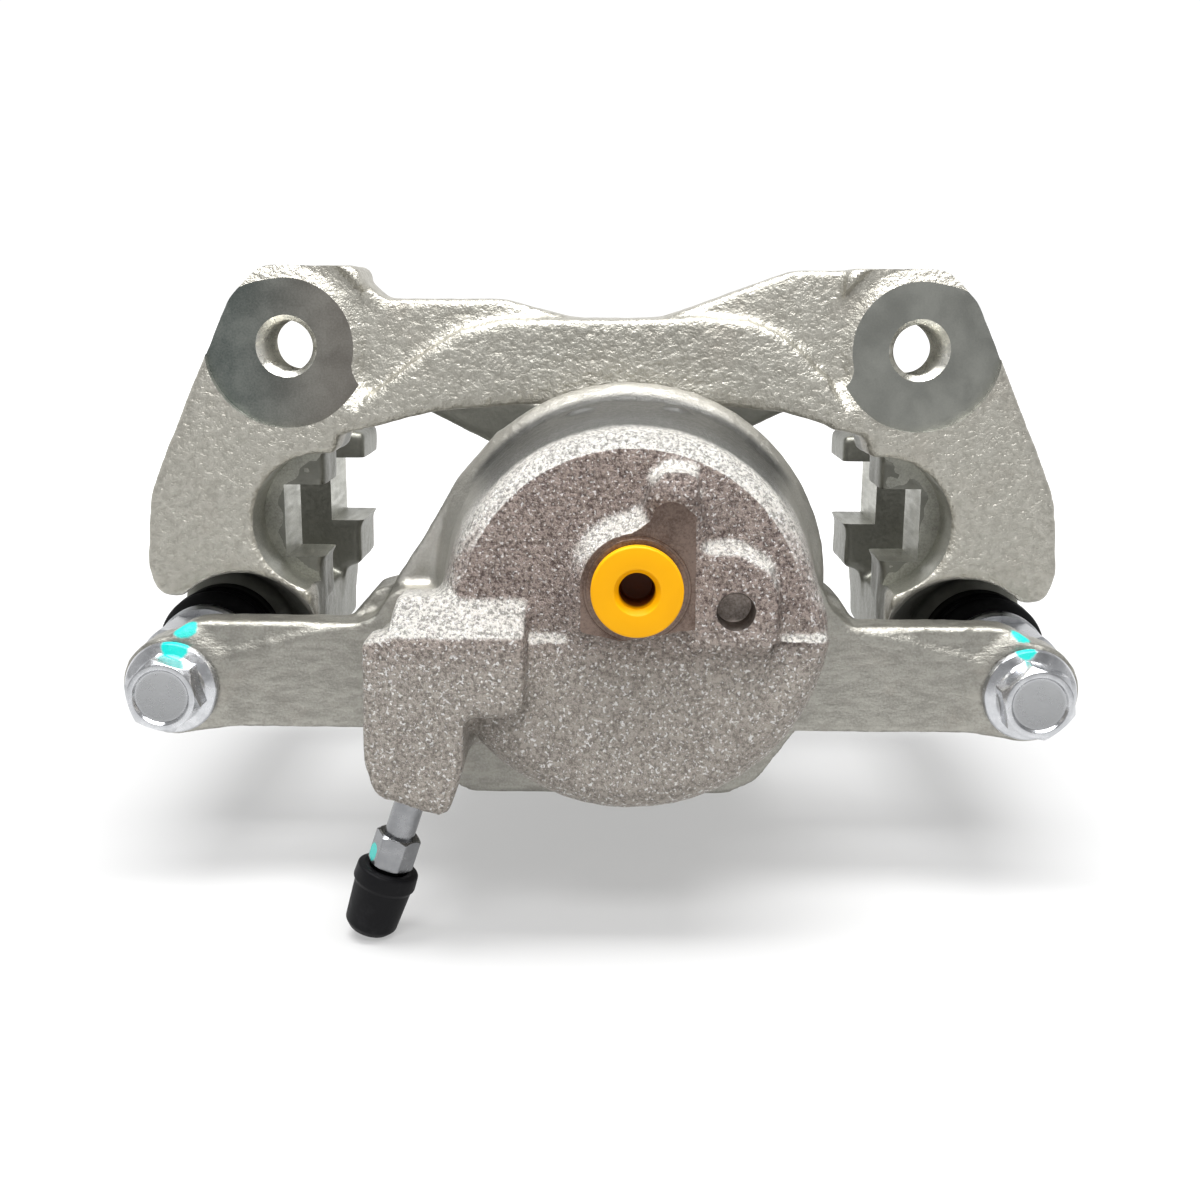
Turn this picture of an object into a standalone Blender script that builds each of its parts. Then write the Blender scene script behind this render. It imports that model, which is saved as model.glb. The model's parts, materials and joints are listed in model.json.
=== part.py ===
"""A floating single-piston disc brake caliper on its mounting bracket, without pads or disc.

Frame: the origin is midway between the two bracket mounting holes, on the machined ear faces.
+X runs along the bracket, +Y along the piston axis from the inboard to the outboard side, and
+Z towards the wheel centre. Every dimension below is in millimetres, and MM turns it into metres.
"""

import math

import bmesh
import bpy
from mathutils import Matrix, Vector

MM = 0.001

# Bracket: mounting ears
EAR_X = 66.5
EAR_THICKNESS = 16.0
EAR_CAST_Y = -2.0
SPOT_FACE_RADIUS = 17.0
EAR_HOLE_RADIUS = 5.35
EAR_CHAMFER_RADIUS = 6.4

# Bracket: pad guides and disc slot
DISC_CENTRE_Z = 64.0
DISC_RADIUS = 140.0
POCKET_X, POCKET_Z, POCKET_RADIUS = 60.0, -37.5, 14.9
INBOARD_GUIDE_Y = (10.0, 26.6)
OUTBOARD_GUIDE_Y = (62.0, 84.0)
NOTCH_BOTTOM_X = 70.6
NOTCH_Z = (-46.9, -30.6)

# Guide pins
PIN_X, PIN_Z = 89.7, -70.0
PIN_RADIUS = 5.4
PIN_BORE_RADIUS = 5.7
PIN_BORE_Y = (28.0, 78.0)
PIN_NECK_RADIUS = 11.3
PIN_NECK_Y = 24.2
PIN_SCALLOP_Y = 29.0

# Housing
BORE_X, BORE_Z = 6.0, -47.6
BORE_RADIUS = 28.6
BORE_END_Y = -37.0
END_FACE_Y = -46.8
OPEN_END_Y = 8.0
ARM_Y = (-14.5, -5.0)
ARM_Z = (-79.2, -56.4)
COLLAR_RADIUS = 41.0
COLLAR_Y = -9.8
BOLT_SEAT_Y = -15.3
LOWER_FACE_Y, LOWER_FACE_Z = -48.4, -51.2
SEAT_PAD_Y = -50.0
INLET_X, INLET_Z = 6.9, -41.2
INLET_RADIUS = 4.6
FINGER_Y = (77.5, 93.0)
BRIDGE_INNER_RADIUS = 145.0
SEAL_GROOVE_Y = (-12.0, -8.6)
SEAL_GROOVE_RADIUS = 31.8
BOOT_SEAT_RADIUS = 32.0
BOOT_SEAT_Y = 2.0

# Bleeder
BLEEDER_Y = -40.0
BLEEDER_BLOCK_Y = -52.0
BLEEDER_TILT = math.radians(18.2)
BLEEDER_SEAT = Vector((-36.1, BLEEDER_Y, -84.0))
BLEEDER_AXIS = Vector((-math.sin(BLEEDER_TILT), 0.0, -math.cos(BLEEDER_TILT)))
BLEEDER_RADIUS = 3.3

# Fasteners
BOLT_ACROSS_FLATS = 14.0
BOLT_FLANGE_RADIUS = 9.85
BOLT_SPIN = 13.0
BOLT_HEAD_HEIGHT = 8.4
BOLT_SHANK_RADIUS = 3.95
FIT_GAP = 0.3

ROUND = 48
SMALL_ROUND = 24


def clear_scene():
    for obj in list(bpy.data.objects):
        bpy.data.objects.remove(obj, do_unlink=True)


def new_collection(name):
    collection = bpy.data.collections.new(name)
    bpy.context.scene.collection.children.link(collection)
    return collection


clear_scene()
PARTS = new_collection("brake_caliper")
TOOLS = new_collection("construction_shapes")
TOOLS.hide_render = True


def material(name, colour, roughness, metallic):
    made = bpy.data.materials.new(name)
    made.use_nodes = True
    shader = made.node_tree.nodes["Principled BSDF"]
    shader.inputs["Base Color"].default_value = (*colour, 1.0)
    shader.inputs["Roughness"].default_value = roughness
    shader.inputs["Metallic"].default_value = metallic
    return made


def new_object(name, mesh):
    obj = bpy.data.objects.new(name, mesh)
    PARTS.objects.link(obj)
    return obj


def finish(obj, look):
    """Settles a sub-part's shape, then gives it its material and smooth round faces."""
    bpy.context.view_layer.update()
    graph = bpy.context.evaluated_depsgraph_get()
    mesh = bpy.data.meshes.new_from_object(obj.evaluated_get(graph))
    obj.modifiers.clear()
    obj.data = mesh
    mesh.materials.clear()
    mesh.materials.append(look)
    mesh.shade_smooth()
    mesh.set_sharp_from_angle(angle=math.radians(35))
    return obj


def boolean(base, tool, operation):
    """Joins or cuts base with tool, which moves to the construction shapes."""
    modifier = base.modifiers.new(tool.name, "BOOLEAN")
    modifier.operation = operation
    modifier.solver = "EXACT"
    modifier.object = tool
    if tool.name in PARTS.objects:
        PARTS.objects.unlink(tool)
        TOOLS.objects.link(tool)
    tool.hide_render = True
    tool.display_type = "WIRE"


def join(base, *tools):
    for tool in tools:
        boolean(base, tool, "UNION")


def cut(base, *tools):
    for tool in tools:
        boolean(base, tool, "DIFFERENCE")


def bevel(obj, width, segments=1):
    modifier = obj.modifiers.new("rounded_edges", "BEVEL")
    modifier.width = width * MM
    modifier.segments = segments
    modifier.limit_method = "ANGLE"
    modifier.angle_limit = math.radians(87)
    return obj


def arc(x, z, radius, start, end, steps=12):
    """Points on an arc in the X-Z plane. Angles in degrees, from +X towards +Z."""
    angles = [math.radians(start + (end - start) * i / steps) for i in range(steps + 1)]
    return [(x + radius * math.cos(a), z + radius * math.sin(a)) for a in angles]


def rounded(corners, steps=3):
    """An outline from corners (x, z) or (x, z, radius), with each given radius made an arc."""
    outline = []
    for i, corner in enumerate(corners):
        here = Vector(corner[:2])
        if len(corner) == 2:
            outline.append(tuple(here))
            continue
        before = (Vector(corners[i - 1][:2]) - here).normalized()
        after = (Vector(corners[(i + 1) % len(corners)][:2]) - here).normalized()
        half = before.angle(after) / 2
        centre = here + (before + after).normalized() * corner[2] / math.sin(half)
        start = here + before * corner[2] / math.tan(half) - centre
        end = here + after * corner[2] / math.tan(half) - centre
        turn_angle = start.angle_signed(end)
        for step in range(steps + 1):
            spoke = start.copy()
            spoke.rotate(Matrix.Rotation(-turn_angle * step / steps, 2))
            outline.append(tuple(centre + spoke))
    return outline


def plate(name, outline, limits, sideways=False):
    """A flat outline in the X-Z plane, extruded along Y, or sideways: one in Y-Z, along X."""
    curve = bpy.data.curves.new(name, "CURVE")
    curve.dimensions = "2D"
    curve.fill_mode = "BOTH"
    curve.extrude = (limits[1] - limits[0]) / 2 * MM
    spline = curve.splines.new("POLY")
    spline.points.add(len(outline) - 1)
    spline.use_cyclic_u = True
    for point, (across, z) in zip(spline.points, outline):
        point.co = (across * MM, z * MM, 0.0, 1.0)
    guide = new_object(name + "_outline", curve)
    guide.rotation_euler = (math.pi / 2, 0.0, math.pi / 2 if sideways else 0.0)
    guide.location[0 if sideways else 1] = (limits[0] + limits[1]) / 2 * MM
    bpy.context.view_layer.update()
    graph = bpy.context.evaluated_depsgraph_get()
    mesh = bpy.data.meshes.new_from_object(guide.evaluated_get(graph))
    mesh.transform(guide.matrix_world)
    bpy.data.objects.remove(guide, do_unlink=True)
    edit = bmesh.new()
    edit.from_mesh(mesh)
    bmesh.ops.remove_doubles(edit, verts=edit.verts, dist=0.001 * MM)
    bmesh.ops.recalc_face_normals(edit, faces=edit.faces)
    edit.to_mesh(mesh)
    edit.free()
    return new_object(name, mesh)


def block(name, x_range, y_range, z_range):
    """A box between the given limits."""
    sides = [x_range, y_range, z_range]
    size = Vector([abs(b - a) * MM for a, b in sides])
    centre = Vector([(a + b) / 2 * MM for a, b in sides])
    edit = bmesh.new()
    bmesh.ops.create_cube(edit, size=1.0)
    bmesh.ops.scale(edit, vec=size, verts=edit.verts)
    bmesh.ops.translate(edit, vec=centre, verts=edit.verts)
    mesh = bpy.data.meshes.new(name)
    edit.to_mesh(mesh)
    edit.free()
    return new_object(name, mesh)


def rod(name, start, end, radius, end_radius=None, segments=SMALL_ROUND, spin=0.0):
    """A cylinder, cone or prism from one point to another."""
    start, end = Vector(start), Vector(end)
    edit = bmesh.new()
    bmesh.ops.create_cone(
        edit,
        cap_ends=True,
        segments=segments,
        radius1=radius * MM,
        radius2=(radius if end_radius is None else end_radius) * MM,
        depth=(end - start).length * MM,
    )
    turn_to = (end - start).to_track_quat("Z", "Y").to_matrix().to_4x4()
    spin_about = Matrix.Rotation(math.radians(spin), 4, "Z")
    where = Matrix.Translation((start + end) / 2 * MM) @ turn_to @ spin_about
    mesh = bpy.data.meshes.new(name)
    edit.to_mesh(mesh)
    edit.free()
    mesh.transform(where)
    return new_object(name, mesh)


def skewed_cone(name, front, back):
    """A cone between two circles (x, y, z, radius) that face Y and needn't share an axis."""
    edit = bmesh.new()
    depth = back[1] - front[1]
    bmesh.ops.create_cone(
        edit, cap_ends=True, segments=ROUND, radius1=back[3], radius2=front[3], depth=depth
    )
    for vertex in edit.verts:
        circle = front if vertex.co.z > 0 else back
        vertex.co = Vector((vertex.co.x + circle[0], circle[1], vertex.co.y + circle[2])) * MM
    bmesh.ops.recalc_face_normals(edit, faces=edit.faces)
    mesh = bpy.data.meshes.new(name)
    edit.to_mesh(mesh)
    edit.free()
    return new_object(name, mesh)


def turned(name, profile, place, direction=(0, 1, 0), closed=False, segments=ROUND):
    """A turned shape. The profile lists (radius, distance along direction), outer side first to last
    in the sense of the direction, and place is where the distance is zero."""
    points = [(radius * MM, 0.0, -along * MM) for radius, along in profile]
    edges = [(i, i + 1) for i in range(len(points) - 1)]
    if closed:
        edges.append((len(points) - 1, 0))
    mesh = bpy.data.meshes.new(name)
    mesh.from_pydata(points, edges, [])
    obj = new_object(name, mesh)
    obj.location = Vector(place) * MM
    obj.rotation_mode = "QUATERNION"
    obj.rotation_quaternion = (-Vector(direction)).to_track_quat("Z", "Y")
    screw = obj.modifiers.new("turning", "SCREW")
    screw.steps = segments
    screw.render_steps = segments
    screw.use_merge_vertices = True
    screw.merge_threshold = 0.00001
    screw.use_smooth_shade = True
    return obj


def mirrored(obj):
    """Adds the other half of a shape that is symmetric about X = 0."""
    modifier = obj.modifiers.new("other_side", "MIRROR")
    modifier.use_axis[0] = True
    modifier.use_bisect_axis[0] = True
    modifier.use_clip = True
    modifier.merge_threshold = 0.00001
    return obj


# ---------------------------------------------------------------- bracket


def inboard_leg():
    """One mounting ear and the leg below it, down to the guide pin boss."""
    outline = rounded(
        [
            (50.5, 16.6, 2.0),
            (71.5, 16.6, 5.0),
            (78.0, 10.0, 8.0),
            (88.0, -11.5, 30.0),
            (96.8, -31.0, 20.0),
            (98.2, -47.0, 10.0),
            (96.4, -53.7, 4.0),
            (84.0, -53.9, 2.0),
            (78.0, -64.0),
            (67.0, -73.0),
            (62.8, -72.0),
            (62.8, -40.0),
            (61.4, -34.0),
            (61.4, -22.4, 0.5),
            (56.4, -22.4, 1.5),
            (55.8, -17.8, 2.0),
            (46.4, -16.2, 2.0),
            (50.2, -8.0, 3.0),
            (52.3, 2.0, 8.0),
            (50.0, 12.0, 3.0),
        ]
    )
    return bevel(plate("inboard_leg", outline, (EAR_CAST_Y, EAR_THICKNESS)), 1.2)


def pad_guide(name, y_range, top_z):
    """One abutment beside the disc. The notch for the pad ear is cut later."""
    outline = rounded(
        [
            (61.6, top_z, 1.2),
            (67.0, top_z + 0.4, 1.0),
            (84.0, -16.0, 6.0),
            (94.0, -36.0, 12.0),
            (95.5, -50.0, 4.0),
            (80.0, -58.0),
            (69.0, -74.0),
            (67.4, -59.5, 1.0),
            (63.2, -58.2, 1.0),
            (63.2, -40.0),
            (61.6, -36.0),
        ]
    )
    return plate(name, outline, y_range)


def crossbar():
    """The beam over the disc's rim, round the guide pin's bore."""
    rim = DISC_RADIUS + 3.0
    angles = [math.radians(-61.5 + 12.0 * i / 5) for i in range(6)]
    over_disc = [(rim * math.cos(a), DISC_CENTRE_Z + rim * math.sin(a)) for a in angles]
    boss = arc(PIN_X, PIN_Z, 12.4, 30, -110)
    outline = over_disc + [(97.0, -46.0)] + boss + [(74.0, -80.0), (68.6, -75.0)]
    return plate("crossbar", outline, (20.0, OUTBOARD_GUIDE_Y[1] - 0.6))


def outboard_tie():
    """Half of the bar that joins the two outboard pad guides."""
    outline = rounded(
        [
            (-4.0, -17.0),
            (18.0, -17.0, 12.0),
            (46.0, -5.0, 10.0),
            (66.0, -1.0, 6.0),
            (80.0, -10.0, 5.0),
            (84.0, -22.0),
            (68.0, -25.0),
            (65.0, -13.0, 3.0),
            (46.0, -19.4, 20.0),
            (24.0, -30.3, 10.0),
            (-4.0, -30.3),
        ]
    )
    return bevel(plate("outboard_tie", outline, (71.0, 83.0)), 1.5)


def inboard_arch():
    """The proud bar between the ears, with the webs set back above it."""
    lower = [(-58.0, -19.0), (-46.5, -16.2), (-35.0, -13.2), (-18.0, -11.8), (5.0, -11.2)]
    lower += [(27.0, -12.0), (38.5, -12.9), (48.0, -15.7), (58.0, -19.0)]
    upper = [(58.0, -8.0), (49.7, -7.4), (45.5, -4.5), (41.1, 0.0), (36.9, 3.3), (30.5, 5.9)]
    upper += [(20.0, 6.6), (0.0, 5.9), (-21.0, 5.8), (-29.7, 3.6), (-38.0, -1.5)]
    upper += [(-45.8, -7.8), (-50.0, -10.5), (-58.0, -11.0)]
    bar = bevel(plate("arch_bar", lower + upper, (-2.6, 13.0)), 1.2)
    top = rounded(
        [
            (-58.0, -12.0),
            (-58.0, 15.9),
            (-52.2, 15.9, 3.0),
            (-46.2, 9.9, 4.0),
            (-21.0, 9.9, 8.0),
            (-6.0, 6.1, 10.0),
            (12.0, 6.1, 12.0),
            (40.0, 16.2, 14.0),
            (58.0, 16.2),
            (58.0, -10.0),
            (45.0, -7.0),
            (36.0, 0.0),
            (10.0, 2.0),
            (-10.0, 2.0),
            (-38.0, -4.0),
            (-46.0, -10.0),
        ]
    )
    join(bar, plate("arch_web", top, (1.0, 12.4)))
    return bar


def bracket(look):
    """The fixed carrier: two ears, two legs over the disc, four pad guides, two pin bores."""
    body = inboard_leg()
    body.name = "bracket"
    join(
        body,
        pad_guide("inboard_guide", (8.0, INBOARD_GUIDE_Y[1]), -18.0),
        pad_guide("outboard_guide", OUTBOARD_GUIDE_Y, -24.2),
        crossbar(),
    )
    scallop = skewed_cone("boot_scallop", (76.9, -4.0, -66.6, 18.6), (PIN_X, PIN_SCALLOP_Y, PIN_Z, 16.6))
    cut(body, scallop)
    neck_ends = [(PIN_X, y, PIN_Z) for y in (PIN_NECK_Y, PIN_SCALLOP_Y + 3.0)]
    neck = rod("pin_neck", *neck_ends, PIN_NECK_RADIUS)
    join(body, neck, outboard_tie())
    ear_hole_profile = [
        (0.0, -8.0),
        (SPOT_FACE_RADIUS, -8.0),
        (SPOT_FACE_RADIUS, 0.0),
        (EAR_CHAMFER_RADIUS, 0.0),
        (EAR_HOLE_RADIUS, EAR_CHAMFER_RADIUS - EAR_HOLE_RADIUS),
        (EAR_HOLE_RADIUS, EAR_THICKNESS + 4.0),
        (0.0, EAR_THICKNESS + 4.0),
    ]
    cut(
        body,
        rod(
            "guide_pocket",
            (POCKET_X, -6.0, POCKET_Z),
            (POCKET_X, INBOARD_GUIDE_Y[0], POCKET_Z),
            POCKET_RADIUS,
            segments=ROUND,
        ),
        block("pad_notch", (50.0, NOTCH_BOTTOM_X), (5.0, 90.0), NOTCH_Z),
        turned("ear_drill", ear_hole_profile, (EAR_X, 0, 0)),
        rod("pin_bore", (PIN_X, 20.0, PIN_Z), (PIN_X, PIN_BORE_Y[1], PIN_Z), PIN_BORE_RADIUS),
    )
    mirrored(body)
    join(body, inboard_arch())
    return finish(body, look)


# ---------------------------------------------------------------- housing


def rounded_end(end_y, radius, corner):
    """The turned profile of a flat end with a rounded corner."""
    profile = [(0.0, end_y)]
    for step in range(6):
        angle = math.radians(18 * step)
        across = radius - corner + corner * math.sin(angle)
        profile.append((across, end_y + corner - corner * math.cos(angle)))
    return profile


def cylinder_body():
    """The turned outside of the cylinder, from the closed end to the open end."""
    profile = rounded_end(END_FACE_Y, 37.3, 5.0)
    profile += [
        (38.2, ARM_Y[0] - 1.0),
        (COLLAR_RADIUS, COLLAR_Y),
        (COLLAR_RADIUS, ARM_Y[1]),
        (34.8, ARM_Y[1] + 0.4),
        (34.8, OPEN_END_Y),
        (0.0, OPEN_END_Y),
    ]
    return turned("housing", profile, (BORE_X, 0, BORE_Z), segments=56)


def lower_end():
    """The lower half of the end face, which stands proud of the upper half."""
    profile = rounded_end(LOWER_FACE_Y, 37.5, 5.0) + [(36.6, -38.0), (0.0, -38.0)]
    end = turned("lower_end", profile, (BORE_X, 0, BORE_Z), segments=52)
    half = block("lower_half", (-40.0, 50.0), (-60.0, -30.0), (-90.0, LOWER_FACE_Z))
    boolean(end, half, "INTERSECT")
    return end


def arm_plate():
    """The plate with the two arms that carry the guide pins."""
    left_end = arc(-82.5, -68.0, 11.6, 90, 140, 4) + arc(-PIN_X, PIN_Z, 10.9, 150, 270, 8)
    right_end = arc(PIN_X, PIN_Z, 10.9, -90, 30, 8) + arc(82.5, -68.0, 11.6, 40, 90, 4)
    outline = [(-30.0, -48.8), (-41.5, -48.8), (-44.0, -50.4), (-47.0, -55.0), (-51.0, ARM_Z[1])]
    outline += left_end + [(-78.0, ARM_Z[0]), (-44.0, ARM_Z[0]), (-28.0, -80.0)]
    outline += [(32.0, -80.0), (40.0, ARM_Z[0]), (78.0, ARM_Z[0])] + right_end
    outline += [(52.5, ARM_Z[1]), (48.5, -53.0), (46.0, -48.0), (36.0, -44.0)]
    return bevel(plate("arm_plate", outline, ARM_Y), 1.4)


def flank_plate():
    """The thinner web that fills the corner between the collar and the arms."""
    left = [(-21.5, -16.6), (-30.2, -26.8), (-37.0, -38.6), (-43.6, -48.6), (-44.0, -60.0)]
    right = [(40.0, -60.0), (47.0, -50.0), (45.6, -44.0), (43.2, -35.0), (30.0, -18.0)]
    return bevel(plate("flank_plate", left + right, (COLLAR_Y, ARM_Y[1] + 1.0)), 0.8)


def rear_wall():
    """The wall behind the arms, which turns into the bridge."""
    outline = rounded(
        [
            (-43.4, -49.6, 2.0),
            (-48.2, -50.9, 1.5),
            (-55.4, -59.2, 2.0),
            (-56.0, -72.0, 3.0),
            (-43.2, -81.6, 3.0),
            (-34.0, -93.4, 4.0),
            (-28.0, -96.4, 4.0),
            (28.0, -96.4, 4.0),
            (34.4, -93.4, 4.0),
            (42.8, -81.6, 3.0),
            (56.0, -72.0, 3.0),
            (55.4, -58.6, 2.0),
            (50.8, -52.0, 2.0),
            (45.0, -48.0, 2.0),
            (36.0, -60.0),
            (-30.0, -60.0),
        ]
    )
    return bevel(plate("rear_wall", outline, (ARM_Y[1] - 1.0, OPEN_END_Y - 0.6)), 1.0)


def bridge():
    """The thick arch over the disc's rim."""
    inner = []
    for step in range(13):
        x = -46.0 + 92.0 * step / 12
        inner.append((x, DISC_CENTRE_Z - math.sqrt(BRIDGE_INNER_RADIUS**2 - x * x)))
    outer = [(46.0, -80.6), (43.3, -83.6), (35.0, -95.0), (27.6, -97.8)]
    outline = inner + outer + [(-x, z) for x, z in reversed(outer)]
    return plate("bridge", outline, (4.0, FINGER_Y[1] - 0.8))


def fingers():
    """The two fingers behind the outboard pad, with the gap that the boring tool passes through."""
    half_gap = 18.5
    gap = arc(BORE_X, -54.0, half_gap, 0, -180, 12)
    outline = rounded(
        [
            (-33.0, -36.0, 8.0),
            (-40.0, -62.0, 12.0),
            (-43.0, -82.6, 4.0),
            (-34.7, -94.6, 4.0),
            (-27.3, -97.4, 4.0),
            (27.3, -97.4, 4.0),
            (34.7, -94.6, 4.0),
            (43.0, -82.6, 4.0),
            (45.0, -62.0, 12.0),
            (42.0, -36.0, 8.0),
            (BORE_X + half_gap, -36.0, 5.0),
            *gap,
            (BORE_X - half_gap, -36.0, 5.0),
        ]
    )
    return bevel(plate("fingers", outline, FINGER_Y), 1.5)


def bleeder_boss():
    """The stepped block beside the cylinder and the column that holds the bleeder screw."""
    front = rounded(
        [
            (-43.3, -52.2, 3.0),
            (-13.5, -52.2, 2.0),
            (-13.5, -64.8, 3.0),
            (-24.7, -65.6),
            (-25.0, -75.4),
            (-28.2, -85.0, 2.5),
            (-41.6, -80.6, 3.0),
            (-43.6, -73.4, 4.0),
        ]
    )
    slope = [(-30.0, -45.4), (-44.0, -43.4), (-46.2, -43.4), (-50.6, -50.6), (-50.6, -58.0)]
    return [
        block("bleeder_root", (-42.4, -20.0), (-31.0, -10.0), (-77.4, -58.6)),
        plate("bleeder_block", front, (BLEEDER_BLOCK_Y, -28.0)),
        plate("bleeder_slope", slope + [(-30.0, -58.0)], (-38.8, -13.3), sideways=True),
    ]


def inlet_pad():
    """The raised seat for the hose fitting, with its stop lug, and the boss beside it."""
    seat = arc(INLET_X, INLET_Z, 10.4, 90, 180, 10)
    seat += [(-3.5, -49.2), (3.0, -50.8), (17.6, -48.6), (17.6, -22.6), (10.3, -22.6), (9.3, -28.0)]
    pad = plate("inlet_pad", seat, (SEAT_PAD_Y, END_FACE_Y + 1.0))
    lug = [(10.3, -18.8, 2.0), (17.8, -19.6, 2.0), (17.8, -24.6), (10.3, -24.0)]
    join(pad, plate("stop_lug", rounded(lug), (SEAT_PAD_Y - 1.6, END_FACE_Y + 1.4)))
    boss = rounded(
        [
            (17.2, -33.8),
            (25.5, -33.8, 3.0),
            (31.0, -37.2, 3.0),
            (32.8, -42.0, 3.0),
            (32.8, -53.0, 2.0),
            (17.2, -53.0),
        ]
    )
    join(pad, bevel(plate("locating_boss", boss, (SEAT_PAD_Y + 0.3, END_FACE_Y + 1.8)), 0.5))
    return pad


def bleeder_point(distance):
    """A point on the bleeder's axis, measured outwards from the column's end face."""
    return BLEEDER_SEAT + BLEEDER_AXIS * distance


def housing(look):
    """The sliding housing: cylinder, arms, bridge over the disc, and fingers."""
    body = cylinder_body()
    join(body, arm_plate(), flank_plate(), rear_wall(), bridge(), fingers())
    join(body, lower_end(), *bleeder_boss(), inlet_pad())
    for side in (-1, 1):
        seat = (side * PIN_X, BOLT_SEAT_Y, PIN_Z)
        root = (side * PIN_X, ARM_Y[1] - 1.0, PIN_Z)
        join(body, rod("bolt_seat", seat, root, 10.7))
    axis = (BORE_X, 0, BORE_Z)
    bore = [
        (0.0, BORE_END_Y),
        (BORE_RADIUS - 2.0, BORE_END_Y),
        (BORE_RADIUS, BORE_END_Y + 2.0),
        (BORE_RADIUS, SEAL_GROOVE_Y[0]),
        (SEAL_GROOVE_RADIUS, SEAL_GROOVE_Y[0]),
        (SEAL_GROOVE_RADIUS, SEAL_GROOVE_Y[1]),
        (BORE_RADIUS, SEAL_GROOVE_Y[1]),
        (BORE_RADIUS, BOOT_SEAT_Y),
        (BOOT_SEAT_RADIUS, BOOT_SEAT_Y),
        (BOOT_SEAT_RADIUS, OPEN_END_Y + 3.0),
        (0.0, OPEN_END_Y + 3.0),
    ]
    cut(
        body,
        turned("bore", bore, axis, segments=60),
        rod(
            "inlet_hole",
            (INLET_X, SEAT_PAD_Y - 4.0, INLET_Z),
            (INLET_X, BORE_END_Y + 1.0, INLET_Z),
            INLET_RADIUS,
        ),
        rod("locating_hole", (25.0, -54.0, -45.2), (25.0, -43.0, -45.2), 3.3, segments=24),
        rod("bleeder_thread", bleeder_point(4.0), bleeder_point(-21.0), BLEEDER_RADIUS + 0.2),
        rod("bleeder_port", bleeder_point(-20.0), bleeder_point(-27.0), 1.5, segments=16),
        rod(
            "bleeder_passage",
            bleeder_point(-25.5) + Vector((-0.5, 0, 0)),
            Vector((-16.0, -32.0, -56.0)),
            1.5,
            segments=16,
        ),
    )
    for side in (-1, 1):
        front = (side * PIN_X, BOLT_SEAT_Y - 2.0, PIN_Z)
        back = (side * PIN_X, ARM_Y[1] + 2.0, PIN_Z)
        cut(body, rod("bolt_hole", front, back, 4.4))
    return finish(body, look)


# ---------------------------------------------------------------- hydraulics


def piston(look):
    """A hollow steel piston, open towards the pad, with the groove that holds the dust boot."""
    radius, wall, closed_y, rim_y = 28.4, 5.2, BORE_END_Y + 0.6, 11.5
    profile = [
        (0.0, closed_y),
        (radius - 2.2, closed_y),
        (radius, closed_y + 2.2),
        (radius, rim_y - 4.4),
        (radius - 1.8, rim_y - 4.4),
        (radius - 1.8, rim_y - 1.8),
        (radius, rim_y - 1.8),
        (radius, rim_y - 0.6),
        (radius - 0.6, rim_y),
        (radius - wall, rim_y),
        (radius - wall, closed_y + 10.0),
        (radius - wall - 4.0, closed_y + 6.0),
        (0.0, closed_y + 6.0),
    ]
    return finish(turned("piston", profile, (BORE_X, 0, BORE_Z)), look)


def piston_seal(look):
    """The square-section rubber ring in the bore's groove."""
    front, back = SEAL_GROOVE_Y[0] + 0.2, SEAL_GROOVE_Y[1] - 0.2
    inner, outer = 28.6, SEAL_GROOVE_RADIUS - 0.25
    profile = [(inner, front), (outer, front), (outer, back), (inner, back)]
    return finish(turned("piston_seal", profile, (BORE_X, 0, BORE_Z), closed=True), look)


def shell(obj, thickness):
    modifier = obj.modifiers.new("wall", "SOLIDIFY")
    modifier.thickness = thickness * MM
    modifier.offset = 0.0
    return obj


def piston_dust_boot(look):
    """The folded rubber ring between the housing and the piston's groove."""
    profile = [
        (29.5, 3.0),
        (29.5, 7.4),
        (30.7, 9.2),
        (30.2, 10.6),
        (29.3, 9.6),
        (28.9, 8.4),
        (27.1, 8.4),
    ]
    boot = turned("piston_dust_boot", profile, (BORE_X, 0, BORE_Z))
    return finish(shell(boot, 0.9), look)


def dust_boot_ring(look):
    """The pressed steel ring that keeps the dust boot in the housing."""
    inner, outer, front, back = 30.6, 31.75, BOOT_SEAT_Y + 0.4, 7.2
    profile = [(inner, front), (outer, front), (outer, back), (inner, back)]
    return finish(turned("dust_boot_ring", profile, (BORE_X, 0, BORE_Z), closed=True), look)


def inlet_plug(look):
    """The plastic shipping plug in the hose port."""
    flange = 8.45
    front = SEAT_PAD_Y - 2.4
    profile = [
        (0.0, front + 8.0),
        (3.0, front + 8.0),
        (3.3, front + 1.2),
        (4.4, front),
        (flange - 0.4, front),
        (flange, front + 0.4),
        (flange, SEAT_PAD_Y - FIT_GAP),
        (4.3, SEAT_PAD_Y - FIT_GAP),
        (4.1, SEAT_PAD_Y + 8.0),
        (3.4, SEAT_PAD_Y + 9.0),
        (0.0, SEAT_PAD_Y + 9.0),
    ]
    plug = turned("inlet_plug", profile, (INLET_X, 0, INLET_Z), segments=32)
    return finish(plug, look)


def bleeder_screw(look):
    """A hollow bleeder screw: cone tip, threaded shank, hexagon and hose nipple."""
    profile = [
        (0.0, -20.4),
        (1.4, -20.4),
        (BLEEDER_RADIUS - 0.1, -17.0),
        (BLEEDER_RADIUS - 0.1, -0.6),
        (2.95, 0.4),
        (2.95, 9.2),
        (3.6, 9.8),
        (3.6, 15.6),
        (2.5, 17.0),
        (2.5, 18.8),
        (3.2, 20.4),
        (2.4, 24.0),
        (0.0, 24.0),
    ]
    screw = turned("bleeder_screw", profile, BLEEDER_SEAT, BLEEDER_AXIS, segments=20)
    hexagon = turned_hexagon("bleeder_hexagon", 9.0, 15.8, 8.0)
    join(screw, hexagon)
    cut(screw, rod("nipple_bore", bleeder_point(-14.0), bleeder_point(26.0), 0.9, segments=12))
    return finish(screw, look)


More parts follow.
